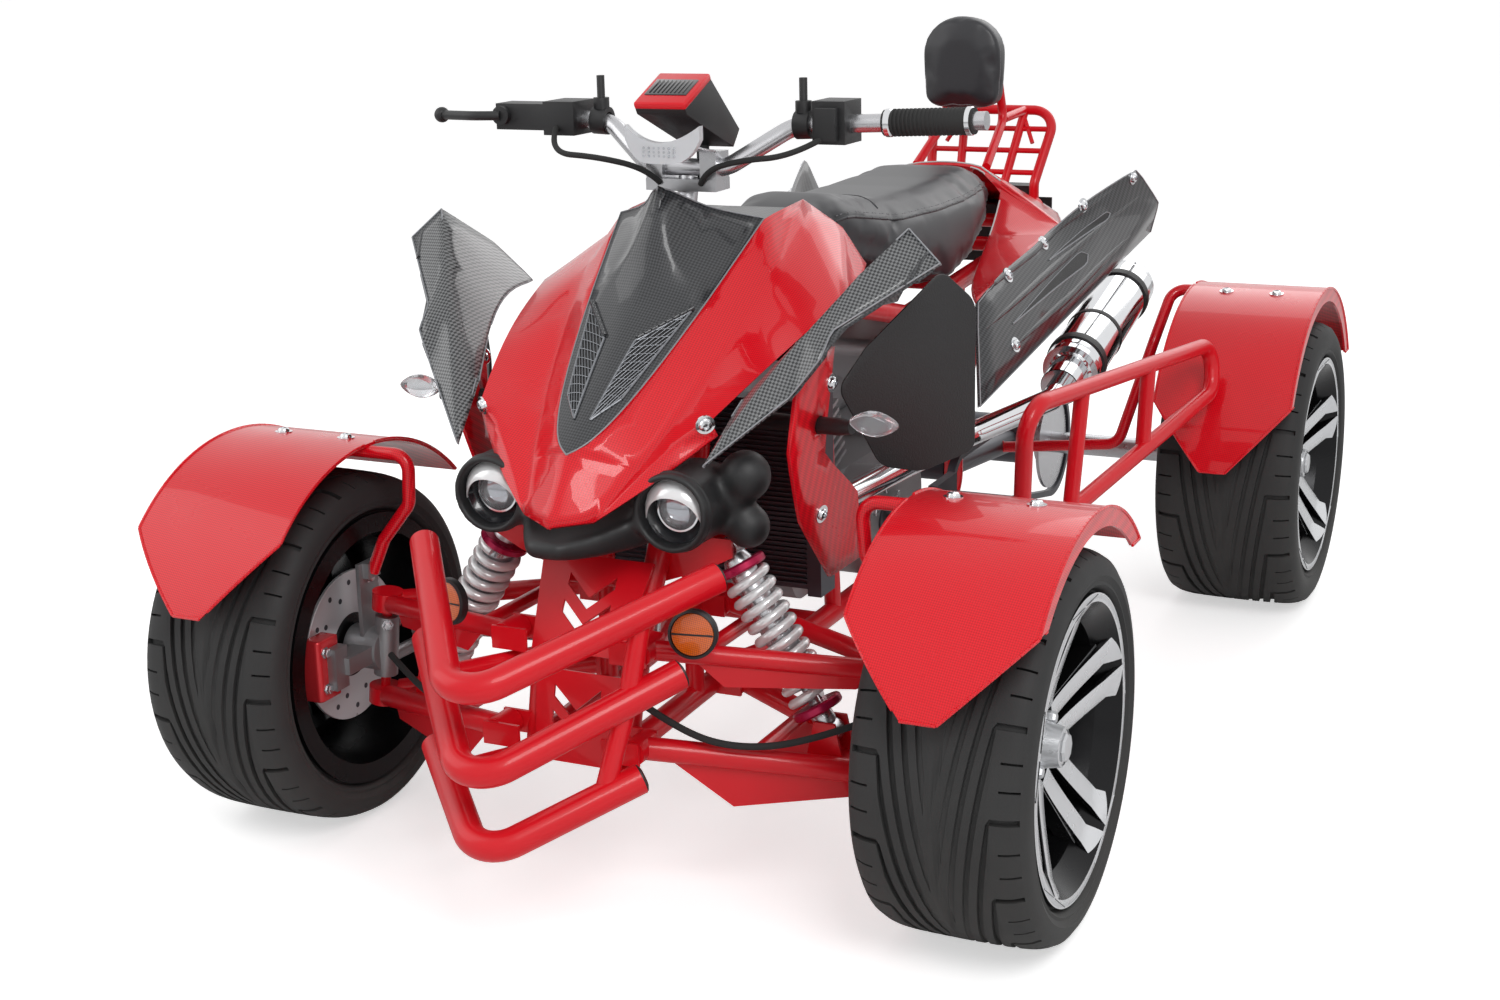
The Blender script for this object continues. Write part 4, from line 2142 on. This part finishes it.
TAIL_RIDGES = Ridges((1, 0, 0.35), (((0.80, 0.10, 0.40), (0.90, 0.45, 0.60), (0.98, 0.86, 0.84)),
                                    ((0.84, 0.16, 0.24), (0.92, 0.48, 0.42), (0.98, 0.80, 0.62)),
                                    ((0.70, 0.14, 0.56), (0.72, 0.40, 0.66), (0.86, 0.74, 0.90))))
WING_RIDGES = Ridges((0.6, -0.5, 0.6), (((0.72, 0.20, 0.20), (0.80, 0.50, 0.50), (0.88, 0.74, 0.80)),
                                        ((0.80, 0.24, 0.16), (0.88, 0.52, 0.42), (0.94, 0.76, 0.66))),
                     0.005, 0.0030)


def dress_nodes(nodes: dict[str, Thing]) -> None:
    """Give every CAD node the finish of its slot.

    Args:
        nodes: the frame's nodes by name.
    """
    for name, node in nodes.items():
        for slot in node.material_slots:
            label = slot.material.name.split(".")[0] if slot.material else ""
            if label in NODE_FINISHES:
                slot.material = NODE_FINISHES[label].build()
        LOG.info("%s dressed", name)


def dress_panels(nodes: dict[str, Thing]) -> dict[str, Thing]:
    """The moulded panels, the lamp housing and the grilles.

    Args:
        nodes: the frame's nodes by name.

    Returns:
        The finished panels by node.
    """
    shells = {}
    for node, shell in (("nose_fairing", SmoothShell(BODY)),
                        ("nose_insert", SmoothShell(CARBON, crease=0.25)),
                        ("front_wings", SmoothShell(WEAVE, 18)), ("tail_panels", SmoothShell(CARBON, 14)),
                        ("seat_cowl", SmoothShell(BODY)), ("side_shrouds", SmoothShell(BODY, 14))):
        shells[node] = shell.build(node, nodes[node])
        if node == "nose_insert":
            Grilles(shells[node]).build()
    melted_housing(nodes["lamp_housing"])
    return shells


def trim_edges(skins: dict[str, Thing]) -> None:
    """Beads along the panels' edges, and softer edges on the CAD pieces.

    Args:
        skins: the frame's nodes by name, with the finished panels in place of their own.
    """
    for node, bead in (("front_wings", EdgeBeads(EDGE)), ("tail_panels", EdgeBeads(EDGE)),
                       ("seat_cowl", EdgeBeads(PIPING, 0.0014)), ("nose_insert", EdgeBeads(EDGE))):
        bead.build(node, skins[node])
    for side in SIDES:
        cover, knuckle, caliper = (f"{kind}_{SIDE_NAMES[side]}"
                                   for kind in ("front_fender", "knuckle", "caliper"))
        EdgeBeads(BODY, 0.0022, knuckle).build(cover, skins[cover])
        Softened(knuckle, CAST).build(knuckle, skins[knuckle])
        Softened(knuckle, CALIPER, 0.0030).build(caliper, skins[caliper])
    EdgeBeads(BODY, 0.0022).build("rear_fenders", skins["rear_fenders"])


def main() -> None:
    """Load the frame and build every sub-assembly in order."""
    logging.basicConfig(level=logging.INFO, format="%(message)s")
    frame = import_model()
    nodes = frame["nodes"]
    Studio().build()
    Cords().build()
    dress_nodes(nodes)
    Wheels().build()
    Lamps().build()
    SeatTrim(Pad("seat", "chassis", 0.8).build(nodes["seat"])).build()
    BackrestPiping(Pad("backrest", "chassis", 0.85, voxel=0.005, cap=0.006).build(nodes["backrest"])).build()
    shells = dress_panels(nodes)
    skins = {**nodes, **shells}
    Signals().build()
    BeamLamp().build()
    CoilOver().build()
    RearTrim(nodes).build()
    Vents(shells["tail_panels"]).build()
    trim_edges(skins)
    HubTrim(nodes).build()
    EngineTrim(nodes).build()
    Softened("steering", PLASTIC, 0.0040).build("gauge", nodes["gauge"])
    Softened("steering", PLASTIC, 0.0050).build("controls", nodes["controls"])
    Softened("chassis", GRAINED, 0.0012, corner=0.014).build("splash_panels", nodes["splash_panels"])
    TAIL_RIDGES.build("tail_panels", shells["tail_panels"])
    WING_RIDGES.build("front_wings", shells["front_wings"])
    Bolts({**nodes, **{name: shells[name] for name in ("front_wings", "tail_panels")}}).build()
    Cockpit().build()
    FrontTrim(nodes).build()


if __name__ == "__main__":
    main()
